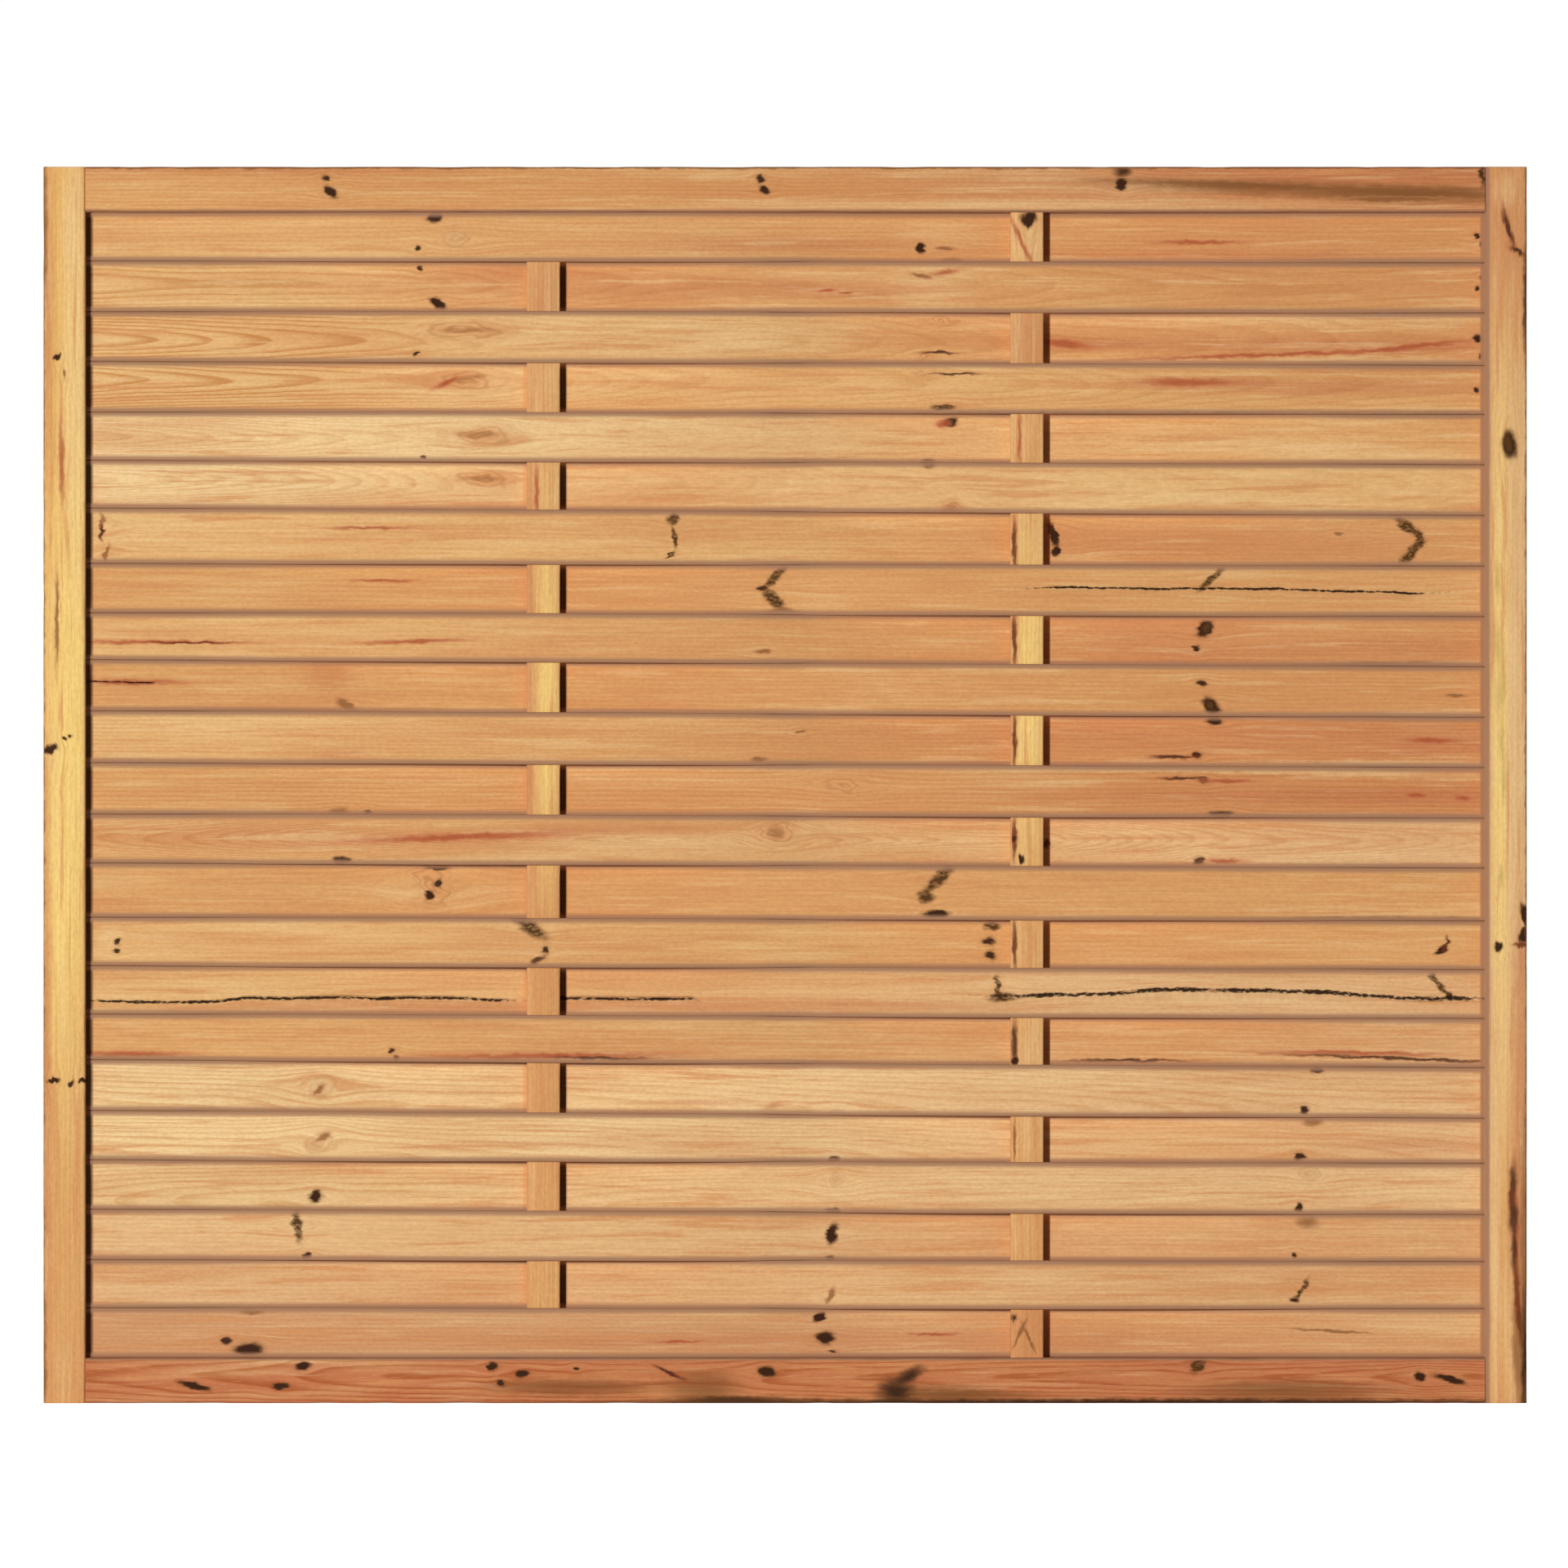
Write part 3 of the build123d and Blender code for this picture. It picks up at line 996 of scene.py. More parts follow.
# %% The upper slats' own stories
SLAT_WOOD = {
    1: (HONEY, ORANGE, straight(90, 5.0, 0.35), [
        ("pale", 1088, 2, 44, 15), ("knot", 475, 24, 9, 5, 15), ("pin", 455, -14, 3, 3),
        ("eye", 500, -2, 17, 9), ("warm", 840, 0, 430, 40), ("knot", 1065, -12, 6, 5, -30),
        ("brown", 1095, -12, 11, 2.8), ("brown", 1101, -27, 13, 4), ("rosy", 900, -10, 160, 9),
        ("rosy", 1450, -20, 280, 6), ("red", 1402, -5, 45, 2), ("pin", 1739, 2, 3, 3),
        ("pin", 1745, -8, 2.5, 2.5)]),
    2: (HONEY, ORANGE, arched(4, 3.0, 0.6, 30, 0.02, (150, 500, 0.3)), [
        ("pale", 1078, 0, 40, 24), ("pin", 457, 22, 3, 3), ("knot", 478, -20, 9, 5, -30),
        ("rosy", 590, 18, 120, 7), ("rosy", 700, 2, 280, 16), ("rosy", 950, -5, 90, 8),
        ("red", 950, -5, 9, 1.8), ("red", 974, -7, 6, 1.6), ("red", 1093, 17, 14, 2.6, 8),
        ("brown", 1065, 13, 12, 2.2, -15), ("pin", 1740, -1, 3, 3), ("pin", 1746, 12, 2.5, 2.5)]),
    3: (HONEY, ORANGE, arched(-4, 3.4, 0.85, 20, 0.03, (260, 500, 0.26)), [
        ("pale", 740, 4, 200, 24), ("pale", 1450, 24, 320, 5), ("pale", 1450, -26, 300, 4),
        ("pin", 453, -20, 2.5, 2.5), ("brown", 512, 8, 30, 3), ("ring", 512, 8, 38, 9),
        ("ring", 1091, 22, 18, 5), ("ring", 1069, -22, 8, 5), ("dark", 1087, -17, 20, 1.2),
        ("rosy", 1460, -6, 300, 9), ("red", 1240, -6, 28, 4, -6), ("red", 1500, -18, 160, 1.8, 2),
        ("red", 1660, -9, 60, 2.2, 6), ("knot", 1741, 1, 5, 4), ("pin", 1744, -20, 3, 3)]),
    4: (HONEY, TAN, arched(8, 2.8, 0.9, 20, 0.03, (180, 560, 0.28)), [
        ("pale", 515, 2, 75, 24), ("brown", 508, 10, 22, 3, 10), ("ring", 512, 10, 32, 9),
        ("red", 488, 6, 13, 3, 25), ("ring", 1069, 18, 8, 5), ("dark", 1107, 17, 25, 1.2),
        ("spike", 1093, -22, 13, 3), ("red", 1391, 8, 50, 4), ("rosy", 1560, 4, 200, 10),
        # The long black line along the lower edge is painted shadow along the joint below.
        ("rosy", 1640, 24, 140, 5), ("pin", 1741, 0, 3, 3), ("black", 1440, -30, 400, 1.4)]),
    5: (CREAM, TAN, arched(0, 2.4, 0.4, 16, 0.045, (250, 600, 0.12)), [
        ("pale", 528, 0, 85, 24), ("brown", 529, 2, 22, 4), ("ring", 531, 1, 30, 10),
        ("pin", 461, -24, 3, 2), ("knot", 1101, 19, 8, 5, 10), ("red", 1092, 17, 6, 4),
        ("spike", 1074, -28, 8, 4)]),
    6: (CREAM, HONEY, arched(5, 2.4, 0.4, 16, 0.045, (250, 600, 0.14)), [
        ("warm", 800, 0, 300, 40), ("pale", 530, 2, 85, 24), ("brown", 533, 9, 22, 3),
        ("ring", 535, 8, 30, 8), ("spike", 1074, 27, 7, 4), ("red", 1102, -25, 8, 6),
        ("ring", 1102, -24, 10, 8)]),
    7: (HONEY, TAN, straight(140, 5.4, 0.28), [
        ("brown", 71, 14, 2.6, 12), ("dark", 71, 3, 2.2, 8), ("brown", 76, -20, 3, 10, -20),
        ("red", 394, 10, 42, 1.6), ("spike", 764, 22, 6, 6), ("spike", 765, 0, 11, 3, -85),
        ("spike", 761, -20, 6, 2, 40), ("spike", 1655, 18, 18, 5.4, -36), ("spike", 1661, -15, 19, 6.0, 47),
        ("spike", 1671, 3, 10, 4.0, 90), ("brown", 1572, 8, 6, 2), ("rosy", 1400, 0, 280, 24),
        ("knot", 1226, 6, 4.5, 14, 15), ("knot", 1229, -14, 4, 6)]),
    8: (TAN, TAN, straight(150, 5.8, 0.25), [
        ("red", 412, 10, 32, 1.5), ("spike", 888, 15, 17, 4.4, 45), ("knot", 872, 2, 6, 1.8),
        ("spike", 886, -12, 16, 6.2, -45), ("brown", 898, -26, 17, 3.4), ("pale", 945, -18, 30, 5),
        ("spike", 1417, 13, 18, 4, 43), ("warm", 1500, 0, 330, 40), ("warm", 880, 0, 260, 40)]),
}
print("marks on slats so far", sum(len(marks) for *_, marks in SLAT_WOOD.values()))

# %% [markdown]
# The slats in the middle are the reddest. They have streaks of resin, small dark knots, and olive ones that
# a slanting cut drew out into spikes.

# %% The middle slats' own stories
SLAT_WOOD |= {
    9: (HONEY, ORANGE, straight(-130, 5.2, 0.3), [
        ("red", 146, -7, 88, 1.8), ("dark", 178, -8, 42, 1.0), ("red", 447, -5, 52, 2.0, 2),
        ("brown", 872, -15, 9, 2.6), ("knot", 1410, 14, 10, 7, 45), ("heart", 1411, 15, 6, 3.4, 45),
        ("pin", 1399, -9, 3.2, 3.2), ("rosy", 1640, -8, 150, 12), ("stain", 1640, -27, 60, 2.5),
        ("warm", 900, 0, 480, 40), ("rosy", 1370, 0, 130, 40)]),
    10: (TAN, ORANGE, straight(110, 4.8, 0.35), [
        ("red", 100, 4, 60, 2.4), ("brown", 366, -21, 12, 5, -30), ("rosy", 345, 12, 26, 16),
        ("pin", 1405, 8, 4.5, 3.6), ("knot", 1417, -18, 11, 7, -50), ("heart", 1416, -17, 6, 3.2, -50),
        ("brown", 1714, -4, 11, 2), ("warm", 1030, 0, 180, 40)]),
    11: (HONEY, RUSSET, straight(140, 4.6, 0.35), [
        ("rosy", 363, -20, 30, 5), ("brown", 919, 10, 6, 2, 10), ("brown", 869, -24, 10, 3),
        ("knot", 1421, 24, 10, 4.5), ("pin", 1400, -17, 5, 4), ("dark", 1370, -19, 24, 1.6),
        ("red", 1686, 2, 26, 3), ("rosy", 1700, -6, 110, 7, 6), ("rosy", 1500, 6, 380, 16),
        ("pale", 1640, -27, 240, 3), ("warm", 480, 0, 170, 40)]),
    12: (TAN, RUSSET, straight(60, 5.0, 0.5), [
        ("brown", 358, -26, 12, 4), ("pin", 393, -27, 3, 2), ("ring", 964, 6, 24, 8),
        ("pin", 1408, 14, 5, 3.2), ("dark", 1384, 16, 24, 1.6), ("red", 1435, 13, 26, 2),
        ("rosy", 1660, -6, 120, 11), ("red", 1722, -6, 8, 3.2), ("red", 1666, -3, 10, 2.4),
        ("knot", 1429, -27, 12, 4.5), ("rosy", 1480, -4, 360, 9), ("pale", 1560, 25, 240, 4, -2),
        ("pale", 1120, 26, 420, 3.0), ("warm", 1030, 0, 180, 40)]),
    13: (TAN, SAND, arched(2, 1.7, 0.42, -26, 0.04, (1500, 1750, 0.2)), [
        ("knot", 363, -25, 10, 4), ("red", 500, 3, 90, 3.2, 2), ("rosy", 580, 5, 180, 10, 2),
        ("pale", 570, -22, 200, 5, 2), ("pale", 740, -2, 120, 9), ("rosy", 240, 4, 180, 18),
        ("brown", 889, 11, 9, 8), ("ring", 889, 10, 15, 12), ("pin", 1403, -22, 5.5, 4),
        ("red", 1433, -22, 17, 2), ("pale", 1395, -12, 26, 7), ("pin", 1217, -2, 4, 5)]),
    14: (TAN, TAN, straight(160, 6.0, 0.22), [
        ("ring", 474, 8, 15, 22), ("knot", 478, 28, 13, 3), ("pin", 479, 9, 4.2, 4),
        ("knot", 468, -5, 5.5, 5, -20), ("spike", 1087, 17, 21, 6.6, 44), ("spike", 1070, -4, 8, 7),
        ("knot", 1084, -25, 14, 3.8), ("stain", 1650, -30, 120, 2), ("warm", 920, 0, 620, 40)]),
    15: (HONEY, TAN, straight(-160, 6.0, 0.22), [
        ("pin", 90, 0, 3.5, 3.5), ("pin", 88, -11, 3, 3), ("pale", 80, 10, 12, 18),
        ("spike", 589, 20, 23, 7.2, -35), ("pin", 609, -8, 4, 4), ("dark", 599, -21, 10, 3, 30),
        ("spike", 1152, 21, 9, 5), ("pin", 1147, 3, 5.5, 4.5), ("pin", 1150, -13, 5.5, 5),
        ("knot", 1697, -6, 7.5, 4, 20), ("dark", 1703, 3, 7, 2.2, 70), ("warm", 1400, 0, 280, 40)]),
    16: (HONEY, SAND, straight(150, 5.6, 0.22), [
        ("dark", 590, 15, 11, 3.5, -70), ("spike", 1158, 7, 12, 3.4, -85), ("spike", 1164, -5, 14, 5, 5),
        ("rosy", 900, -16, 400, 8), ("rosy", 430, -20, 300, 6), ("spike", 1693, 13, 14, 3.4, -45),
        ("spike", 1704, 1, 8, 3.2, -60)]),
}
print("marks on slats so far", sum(len(marks) for *_, marks in SLAT_WOOD.values()))

# %% [markdown]
# The lower slats are pale and quiet. Three of them share one knot, because they were sawn one after the
# other, and the last one has taken a little red from the damp.

# %% The lower slats' own stories
SLAT_WOOD |= {
    17: (TAN, FAWN, straight(-110, 4.8, 0.35), [
        ("pin", 422, -15, 3, 3), ("pin", 427, -24, 3, 3), ("red", 605, -20, 125, 2.6, 1),
        ("dark", 674, -22, 52, 1.6), ("red", 110, -21, 50, 3), ("dark", 1312, -22, 66, 1.3),
        ("warm", 1420, 0, 150, 40), ("dark", 1640, -18, 125, 1.8, -2), ("red", 1600, -12, 80, 2, -1)]),
    18: (CREAM, SAND, arched(-26, 3.2, 0.5, 45, 0.02, (400, 800, 0.35)), [
        ("eye", 338, 0, 16, 12, 25), ("brown", 334, -4, 7, 3, 45), ("eye", 963, -29, 11, 6),
        ("rosy", 783, -17, 54, 3.4), ("rosy", 886, -20, 12, 3.6, 20), ("knot", 1546, 26, 7, 3),
        ("knot", 1531, -21, 5.2, 4.8)]),
    19: (CREAM, SAND, arched(-28, 3.0, 0.5, 50, 0.015, (400, 800, 0.3)), [
        ("eye", 334, -8, 17, 11, 20), ("brown", 340, -1, 8, 4, 30), ("brown", 1539, 24, 11, 6),
        ("warm", 1420, 0, 150, 40), ("knot", 1524, -20, 5.2, 4.6), ("knot", 960, -25, 7, 3.4),
        ("rosy", 1655, -6, 95, 7)]),
    20: (PALE, SAND, arched(-22, 3.2, 0.45, 55, -0.015, (400, 800, 0.3)), [
        ("knot", 330, -13, 8, 6, 40), ("eye", 1537, 18, 13, 8), ("knot", 1524, -22, 5, 4.4),
        ("eye", 961, 9, 7, 9), ("knot", 959, -27, 8, 3.4)]),
    21: (SAND, FAWN, straight(-140, 5.2, 0.3), [
        ("spike", 308, 11, 17, 5.4, -82), ("knot", 319, -24, 5, 4, 20), ("stain", 1535, 19, 10, 6),
        ("pale", 560, 0, 250, 40), ("pin", 1519, -21, 3, 3), ("knot", 957, 3, 11, 5.5, 75),
        ("pin", 955, -26, 5, 2.4)]),
    22: (SAND, FAWN, straight(130, 5.2, 0.28), [
        ("spike", 1527, -5, 14, 3.2, 60), ("pin", 1519, -18, 4, 2.5), ("brown", 954, -13, 9, 3.2, 72)]),
    23: (ROSEWOOD, FAWN, straight(-120, 4.8, 0.35), [
        ("rosy", 1000, -10, 500, 12), ("pin", 222, -10, 5, 4), ("knot", 249, -20, 16, 7),
        ("brown", 253, 25, 14, 3), ("knot", 942, 19, 7, 4.5, 20), ("knot", 949, -6, 10, 6.5),
        ("pin", 958, -22, 4, 1.6), ("red", 1079, -2, 25, 1.3), ("red", 771, -10, 23, 1.3),
        ("brown", 1561, 2, 48, 1.6, -3)]),
}
print("marks on slats so far", sum(len(marks) for *_, marks in SLAT_WOOD.values()))

# %% [markdown]
# The narrow bands to the right of the stile and of the batten in front are painted shadow, and on even
# slats a thin line left of that batten is painted shade. As those places are the same on every other slat,
# a function adds their marks, with the painted joint shade by the right stile. It is the last thing each
# slat needs before its finish is made.

# %% Finish the slats
def corner_shade(number):
    """Painted shadow right of the stile and the batten in front, and painted shade at the joints."""
    low, high = (other_batten_low, other_batten_high) if number % 2 else (batten_low, batten_high)
    shade = "dusk" if number % 2 else "grime"
    grime = [("grime", STILE_WIDTH / MM + 2.6, 0, 5.5, 90), (shade, high.x / MM + 3.2, 0, 4.6, 90),
             ("edge", (PANEL_WIDTH - STILE_WIDTH) / MM - 1.5, 0, 3.6, 90)]
    if number % 2 == 0:
        grime.append(("seam", low.x / MM - 2.0, 0, 2.6, 90))
    return grime


def from_slat_start(mark):
    """The same mark, measured along the slat instead of along the panel."""
    kind, x, *rest = mark
    return (kind, x - SLAT_START / MM, *rest)


for number, name in enumerate(SLATS, start=1):
    *ends, rings, marks = SLAT_WOOD[number]
    low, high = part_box(name)
    material = make_pine(f"pine_{name}", ends, slat_length, rings,
                         [from_slat_start(mark) for mark in marks + corner_shade(number)],
                         SLAT_THICKNESS / 2, (high.z - low.z) / 2)
    pieces[name].data.materials.append(material)
print("slat finishes made")

# %% [markdown]
# The frame has its own marks. Those of the rails are read from the panel's left edge, like the slats'. The
# top rail is stained at its right end, and the bottom rail is the reddest timber of all.

# %% The rails' own stories
RAIL_WOOD = {
    "top_rail": (TAN, CLAY, straight(140, 4.6, 0.45), [
        ("pin", 343, 14, 4, 4), ("knot", 350, -3, 9, 5, -35), ("pin", 869, 13, 4, 4),
        ("knot", 874, -1, 6, 4.5, -30), ("knot", 1308, 6, 6, 7), ("black", 1310, 21, 8, 4),
        ("pale", 1180, -19, 330, 7), ("stain", 1560, -1, 200, 8, -2), ("stain", 1670, -6, 90, 8),
        ("stain", 1430, 6, 110, 3, -2), ("rosy", 1560, 12, 330, 16), ("brown", 1640, -12, 60, 3),
        ("black", 1746, 18, 3, 12), ("rosy", 250, 24, 240, 6), ("rim", 900, 27, 3000, 1.6),
        # The edge line is painted shade along the joint under the rail.
        ("edge", 900, -27.5, 3000, 2.8)]),
    "bottom_rail": (BRICK, BRICK, arched(4, 3.6, 0.9, 60, -0.018, glow=0.2), [
        ("knot", 183, -6, 17, 4, -15), ("knot", 288, -7, 9, 4), ("knot", 315, 17, 9, 5),
        ("knot", 544, 17, 6, 5), ("pin", 555, -3, 4, 4), ("knot", 581, 8, 8, 4, 20),
        ("pin", 648, 15, 4, 2.4), ("dark", 759, 10, 18, 2, -25), ("stain", 800, -9, 34, 15),
        ("black", 840, -24, 60, 4), ("knot", 878, 11, 8.5, 6.5), ("black", 1034, -13, 17, 14),
        ("black", 1050, 6, 15, 6, 30), ("stain", 1080, -16, 50, 8), ("stain", 1130, -17, 60, 4),
        ("spike", 1400, 18, 10, 6, 45), ("knot", 1670, 5, 6, 5), ("knot", 1706, 2, 18, 4, -15),
        ("stain", 1508, -12, 90, 10), ("pale", 300, 24, 60, 3), ("stain", 640, -8, 80, 8),
        # The edge line is painted shade along the joint on top of the rail.
        ("black", 1300, -27, 480, 4), ("edge", 900, 27.5, 3000, 2.8)]),
}
print("marks on rails", sum(len(marks) for *_, marks in RAIL_WOOD.values()))

# %% [markdown]
# Stiles stand up, so their marks are read from the foot, and their second number counts towards the left.
# Both turn yellow at mid height. The right one has most of its faults on its outer edge.

# %% The stiles' own stories
STILE_WOOD = {
    "left_stile": (TAN, STRAW, straight(-90, 6.0, 0.22), [
        ("gold", 850, -4, 500, 22), ("gold", 1020, -14, 400, 10), ("gold", 620, 6, 220, 10),
        ("pale", 1240, -13, 200, 12), ("warm", 150, 0, 260, 28), ("rosy", 1330, 20, 200, 8),
        ("rosy", 330, 22, 330, 5), ("pale", 1440, -10, 60, 10), ("knot", 1270, 8, 3, 4.5, 20),
        ("brown", 1248, 0, 5, 2), ("red", 1140, 3, 42, 2.6, 1), ("brown", 950, 9, 50, 2.4),
        ("knot", 793, 17, 5, 8, 20), ("pin", 805, 0, 2.5, 2.5), ("pin", 809, -7, 2.5, 2.5),
        ("knot", 391, 13, 3, 7), ("pin", 388, -8, 3, 3), ("knot", 391, -22, 3, 5),
        ("stain", 1440, 24, 70, 3), ("stain", 60, 25, 60, 3), ("rim", 750, 25.5, 3000, 1.4)]),
    "right_stile": (TAN, TAN, straight(110, 6.0, 0.22), [
        ("pale", 860, 0, 420, 30), ("gold", 820, 6, 340, 9), ("pale", 280, 14, 220, 5),
        ("pale", 800, -14, 340, 13), ("rosy", 1440, -4, 120, 26), ("pale", 1470, 2, 16, 10),
        ("dark", 1425, -3, 22, 2.8, 16), ("dark", 1397, -14, 9, 3, 60), ("knot", 1162, -4, 15, 8, 8),
        ("heart", 1163, -3, 10, 4.6, 8), ("knot", 553, 9, 5, 4.5), ("mould", 1000, 10, 20, 3),
        ("mould", 915, 9, 26, 4, 4), ("mould", 862, 7, 22, 5, -4), ("mould", 800, 5, 24, 3, 3),
        ("mould", 750, 3, 18, 3), ("mould", 640, 6, 14, 3), ("knot", 590, -23, 15, 4, 20),
        ("knot", 568, -22, 9, 5, -25), ("rosy", 535, -18, 34, 7), ("dark_streak", 556, -18, 3, 9),
        ("dark", 262, -8, 26, 4, -3), ("dark", 222, -9.5, 24, 5, 2), ("dark", 182, -10, 22, 4, -2),
        ("dark_streak", 140, -13, 30, 3.4), ("dark_streak", 100, -16, 24, 3, 4), ("rosy", 180, -17, 190, 9),
        ("stain", 150, -23, 150, 5), ("stain", 60, -13, 50, 4, 3), ("black", 50, -23, 70, 4),
        # The edge line along the inner side is painted shade where the slats meet the stile.
        ("dark", 1340, -24, 50, 3), ("rosy", 420, -18, 200, 8), ("edge", 750, 24.6, 3000, 4.8),
        ("rim", 750, -25.5, 3000, 1.6)]),
}
print("marks on stiles", sum(len(marks) for *_, marks in STILE_WOOD.values()))

# %% [markdown]
# The battens are read like the stiles. Only the parts between the slats can be seen, so that is where their
# marks lie, and most are thin dark lines along the right batten's left side.

# %% The battens' own stories
BATTEN_WOOD = {
    "left_batten": (TAN, HONEY, straight(80, 5.0, 0.3), [
        ("gold", 860, -5, 190, 12), ("rosy", 1345, 0, 60, 24), ("rosy", 860, 17, 260, 5),
        ("red", 1105, 8, 24, 2)]),
    "right_batten": (TAN, HONEY, straight(-80, 5.0, 0.3), [
        ("gold", 850, -3, 160, 16), ("knot", 1437, -2, 8, 9), ("red", 1408, 6, 28, 2.2, 24),
        ("pale", 1405, -8, 26, 8), ("rosy", 1290, 0, 60, 24), ("red", 1170, 9, 28, 1.8),
        ("rosy", 860, 16, 150, 4), ("knot", 661, 7, 6, 2.6, 10), ("rosy", 80, 0, 60, 24),
        ("brown", 80, -2, 20, 2, 25), ("brown", 85, 8, 20, 2, -25), ("dark_streak", 1042, 15, 27, 2.2),
        ("dark_streak", 925, 15, 27, 2.2), ("dark_streak", 803, 15, 27, 2.2), ("dark_streak", 684, 15, 24, 2.4),
        ("dark", 684, 15, 4, 3), ("dark_streak", 556, 15, 27, 2.6), ("dark", 436, 15, 25, 3.4),
        ("knot", 415, 15, 4, 4), ("brown", 320, 15, 25, 1.6), ("black", 104, 16, 4, 3)]),
}
print("marks on battens", sum(len(marks) for *_, marks in BATTEN_WOOD.values()))

# %% [markdown]
# One loop dresses all six frame timbers. Their marks are moved from the panel's zero to the board's own
# start, and their longest side says how far the tones of the two ends lie apart.

# %% Finish the frame
for name, (*ends, rings, marks) in {**RAIL_WOOD, **STILE_WOOD, **BATTEN_WOOD}.items():
    low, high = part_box(name)
    length = max(high - low)
    start = STILE_WIDTH if name in RAIL_WOOD else low.z
    shifted = [(kind, along - start / MM, *rest) for kind, along, *rest in marks]
    half_depth = (high.y - low.y) / 2
    material = make_pine(f"pine_{name}", ends, length, rings, shifted, half_depth)
    pieces[name].data.materials.append(material)
print("finishes in all:", len(bpy.data.materials))

# %% [markdown]
# Two screws hold each corner, driven through the stile into the end of the rail, so their heads show only on
# the outer sides. A countersunk head is a flat cap with a six-lobed recess: a circle of twelve points with
# every other one drawn in makes the lobes, and one extrude makes the recess.

# %% Shape a screw head
SCREW_HEAD_RADIUS = 4.6 * MM
SCREW_RECESS_RADIUS = 2.3 * MM
SCREW_RECESS_DEPTH = 1.6 * MM
SCREW_PROUD = 0.25 * MM
SCREW_SINK = 2.0 * MM
SCREW_INSET = 15.0 * MM
LOBE_DEPTH = 0.68


def made_edges(result, ends):
    """The edges that an operator made between those vertices."""
    return [item for item in result["geom"] if isinstance(item, bmesh.types.BMEdge)
            and all(v in ends for v in item.verts)]


def make_screw(name, place, outward):
    """A screw head at that place; outward is the sign of X that it looks to."""
    head = bmesh.new()
    ring = bmesh.ops.create_circle(head, cap_ends=True, segments=12, radius=SCREW_RECESS_RADIUS)
    for count, v in enumerate(ring["verts"]):
        if count % 2:
            v.co *= LOBE_DEPTH
    wall = bmesh.ops.extrude_edge_only(head, edges=list(head.faces[:][0].edges))
    top = made_verts(wall)
    bmesh.ops.translate(head, vec=(0, 0, SCREW_RECESS_DEPTH), verts=top)
    cap = bmesh.ops.extrude_edge_only(head, edges=made_edges(wall, top))
    rim = made_verts(cap)
    for v in rim:
        v.co.xy = v.co.xy.normalized() * SCREW_HEAD_RADIUS
    skirt = bmesh.ops.extrude_edge_only(head, edges=made_edges(cap, rim))
    low = made_verts(skirt)
    bmesh.ops.translate(head, vec=(0, 0, -SCREW_SINK), verts=low)
    bmesh.ops.contextual_create(head, geom=low)
    bmesh.ops.translate(head, vec=(0, 0, SCREW_PROUD - SCREW_RECESS_DEPTH), verts=head.verts)
    turn = Matrix.Rotation(math.radians(90 * outward), 3, "Y")
    bmesh.ops.rotate(head, cent=(0, 0, 0), matrix=turn, verts=head.verts)
    bmesh.ops.translate(head, vec=place, verts=head.verts)
    return finish_piece(head, name, None)

# %% [markdown]
# The screws are plated with zinc, which weather turns from bright to cloudy. One noise drives three things at
# once: where the plating is duller it is darker too, and a little rougher.

# %% Weathered zinc
STEEL_DARK, STEEL_LIGHT = tone(150, 146, 132), tone(196, 194, 184)


def make_steel():
    """Zinc-plated steel, dulled by weather."""
    material, tree = new_material("zinc_steel")
    place = add_node(tree, "ShaderNodeTexCoord").outputs["Object"]
    cloud = stretched_noise(tree, place, (300.0, 300.0, 300.0), 3.0, 0.6, 2.0).outputs[0]
    colour = blend_colours(tree, remap(tree, cloud, 0.3, 0.7), STEEL_DARK, STEEL_LIGHT)
    roughness = remap(tree, cloud, 0.3, 0.7, 0.55, 0.35)
    bump = add_node(tree, "ShaderNodeBump", {"Height": cloud, "Strength": 0.3, "Distance": 0.0002})
    shader = add_node(tree, "ShaderNodeBsdfPrincipled",
                      {"Base Color": colour, "Metallic": 1.0, "Roughness": roughness,
                       "Normal": bump.outputs[0]})
    add_node(tree, "ShaderNodeOutputMaterial", {0: shader.outputs[0]})
    return material


steel = make_steel()
print("screws are finished in", steel.name)

# %% [markdown]
# Each rail end takes two screws, the same way in from its upper and its lower side. The heads sit on the
# outer faces of the stiles, which were planed back to make room for them.

# %% Drive the corner screws
screw_heights = [SCREW_INSET, RAIL_HEIGHT - SCREW_INSET,
                 panel_height - RAIL_HEIGHT + SCREW_INSET, panel_height - SCREW_INSET]
for side, x, outward in (("left", SCREW_ROOM, -1), ("right", PANEL_WIDTH - SCREW_ROOM, 1)):
    for count, z in enumerate(screw_heights, start=1):
        screw = make_screw(f"{side}_screw_{count}", (x, 0, z), outward)
        screw.data.materials.append(steel)
print("screws", 2 * len(screw_heights))

# %% [markdown]
# The photograph was taken square on, from a long way off: both stiles show their faces and next to nothing
# of their inner sides. A long lens from twenty metres gives that flat look. The distance follows from the
# lens and from how much of the picture the panel fills.

# %% Camera
PHOTO_WIDTH_PX = 1920
PANEL_WIDTH_PX = 1817
PHOTO_CENTRE_SHIFT_PX = 1.4
PHOTO_CENTRE_DROP_PX = 1.2
LENS_MM = 400.0
SENSOR_MM = 36.0

view_width = PANEL_WIDTH * PHOTO_WIDTH_PX / PANEL_WIDTH_PX
distance = view_width * LENS_MM / SENSOR_MM
camera_data = bpy.data.cameras.new("camera")
camera_data.lens = LENS_MM
camera_data.sensor_width = SENSOR_MM
camera = bpy.data.objects.new("camera", camera_data)
pixel = view_width / PHOTO_WIDTH_PX
camera.location = (PANEL_WIDTH / 2 - PHOTO_CENTRE_SHIFT_PX * pixel, cad_low.y - distance,
                   panel_height / 2 + PHOTO_CENTRE_DROP_PX * pixel)
camera.rotation_euler = (math.radians(90), 0, 0)
bpy.context.collection.objects.link(camera)
bpy.context.scene.camera = camera
print("camera", round(distance, 2), "m in front of the panel")

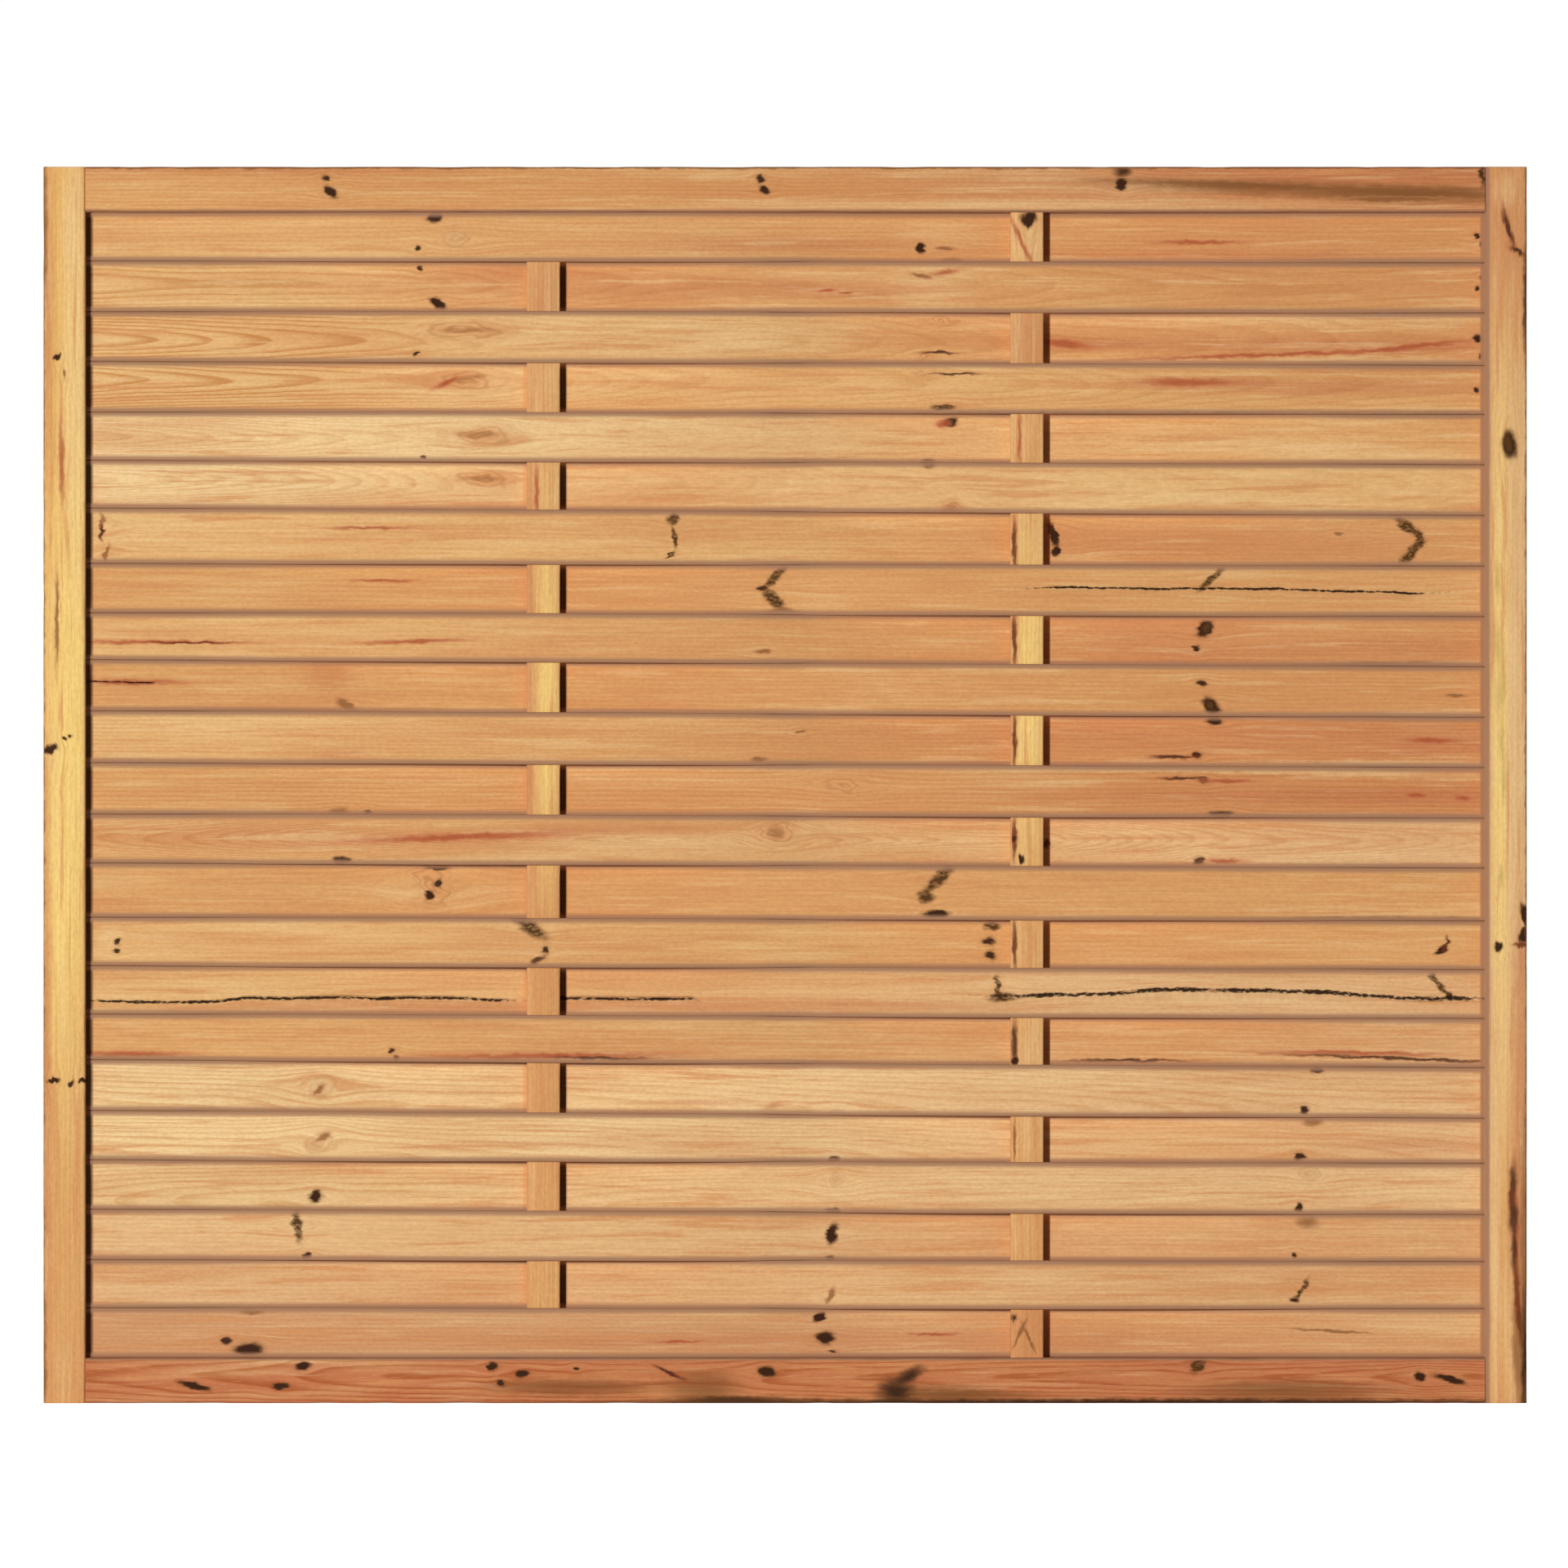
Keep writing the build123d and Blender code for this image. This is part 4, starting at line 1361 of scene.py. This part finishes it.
# %% [markdown]
# The narrow dark bands beside the left stile and the battens say where the light comes from: about 23
# degrees to the left and hardly above the panel's middle. A lamp that is small for its distance keeps their
# edges crisp, and it makes the right side a little darker than the left, as it is in the picture.
# A soft fill stands behind the panel and to its right, so that the back, the shaded side and the top can be
# looked at too. No light from there reaches the front.

# %% Lamps
def add_lamp(name, place, target, size, power, colour):
    """A square area lamp that looks at a target."""
    lamp_data = bpy.data.lights.new(name, "AREA")
    lamp_data.size = size
    lamp_data.energy = power
    lamp_data.color = colour
    lamp = bpy.data.objects.new(name, lamp_data)
    lamp.location = place
    lamp.visible_camera = False
    lamp.rotation_euler = (Vector(target) - Vector(place)).to_track_quat("-Z", "Y").to_euler()
    bpy.context.collection.objects.link(lamp)


middle = Vector((PANEL_WIDTH / 2, 0, panel_height / 2))
KEY_ANGLE = math.radians(23)
KEY_DISTANCE = 16.0
KEY_RISE = 0.06
KEY_POWER = 2370.0
FILL_OFFSET = Vector((3.6, 3.6, 2.2))
FILL_POWER = 290.0
WARM_WHITE, COOL_WHITE = (1.0, 0.985, 0.97), (0.97, 0.98, 1.0)
key_place = middle + KEY_DISTANCE * Vector((-math.sin(KEY_ANGLE), -math.cos(KEY_ANGLE), KEY_RISE))
add_lamp("key", key_place, middle, 1.0, KEY_POWER, WARM_WHITE)
add_lamp("back_fill", middle + FILL_OFFSET, middle, 2.0, FILL_POWER, COOL_WHITE)
print("lamps", [light.name for light in bpy.data.lights])

# %% [markdown]
# The background is plain white in the picture. The world lights the panel gently, but the camera sees it at
# full white, through Light Path. The floor does the same and still darkens where the panel shades it.

# %% World and floor
WORLD_LIGHT = 0.11
FLOOR_SIZE = 14.0
FLOOR_GLOW = 0.89
WHITE = (1, 1, 1, 1)
BOUNCE_GREY = (0.6, 0.6, 0.6, 1)
SHADE_GREY = (0.75, 0.75, 0.75, 1)

world = bpy.data.worlds.new("studio")
bpy.context.scene.world = world
world.use_nodes = True
tree = world.node_tree
tree.nodes.clear()


def seen_directly(tree):
    """1 for rays from the camera, from a gloss and through glass."""
    path = add_node(tree, "ShaderNodeLightPath")
    seen = sum_of(tree, "MAXIMUM", path.outputs["Is Camera Ray"], path.outputs["Is Glossy Ray"])
    return sum_of(tree, "MAXIMUM", seen, path.outputs["Is Transmission Ray"])


strength = remap(tree, seen_directly(tree), 0.0, 1.0, WORLD_LIGHT, 1.0, smooth=False)
background = add_node(tree, "ShaderNodeBackground", {"Color": WHITE, "Strength": strength})
add_node(tree, "ShaderNodeOutputWorld", {0: background.outputs[0]})

floor_mesh = bpy.data.meshes.new("floor")
floor_shape = bmesh.new()
bmesh.ops.create_grid(floor_shape, x_segments=1, y_segments=1, size=FLOOR_SIZE / 2)
floor_shape.to_mesh(floor_mesh)
floor_shape.free()
floor = bpy.data.objects.new("floor", floor_mesh)
floor.location = (PANEL_WIDTH / 2, 0, 0)
bpy.context.collection.objects.link(floor)
floor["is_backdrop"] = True

paper, tree = new_material("pale_floor")
plain = add_node(tree, "ShaderNodeBsdfDiffuse", {"Color": BOUNCE_GREY})
shaded = add_node(tree, "ShaderNodeBsdfDiffuse", {"Color": SHADE_GREY})
glow = add_node(tree, "ShaderNodeEmission", {"Color": WHITE, "Strength": FLOOR_GLOW})
lit = add_node(tree, "ShaderNodeAddShader", {0: shaded.outputs[0], 1: glow.outputs[0]})
mixed = add_node(tree, "ShaderNodeMixShader",
                 {0: seen_directly(tree), 1: plain.outputs[0], 2: lit.outputs[0]})
add_node(tree, "ShaderNodeOutputMaterial", {0: mixed.outputs[0]})
floor_mesh.materials.append(paper)

bpy.context.scene.view_settings.view_transform = "Standard"

# %% [markdown]
# Last, the size of what was dressed is written beside the size of the solids.

# %% Compare the sizes
seen_low, seen_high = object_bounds()
grown = [round((a - b) / MM, 2) for a, b in zip(seen_high - seen_low, cad_high - cad_low)]
print("visual minus solids, in mm:", grown)
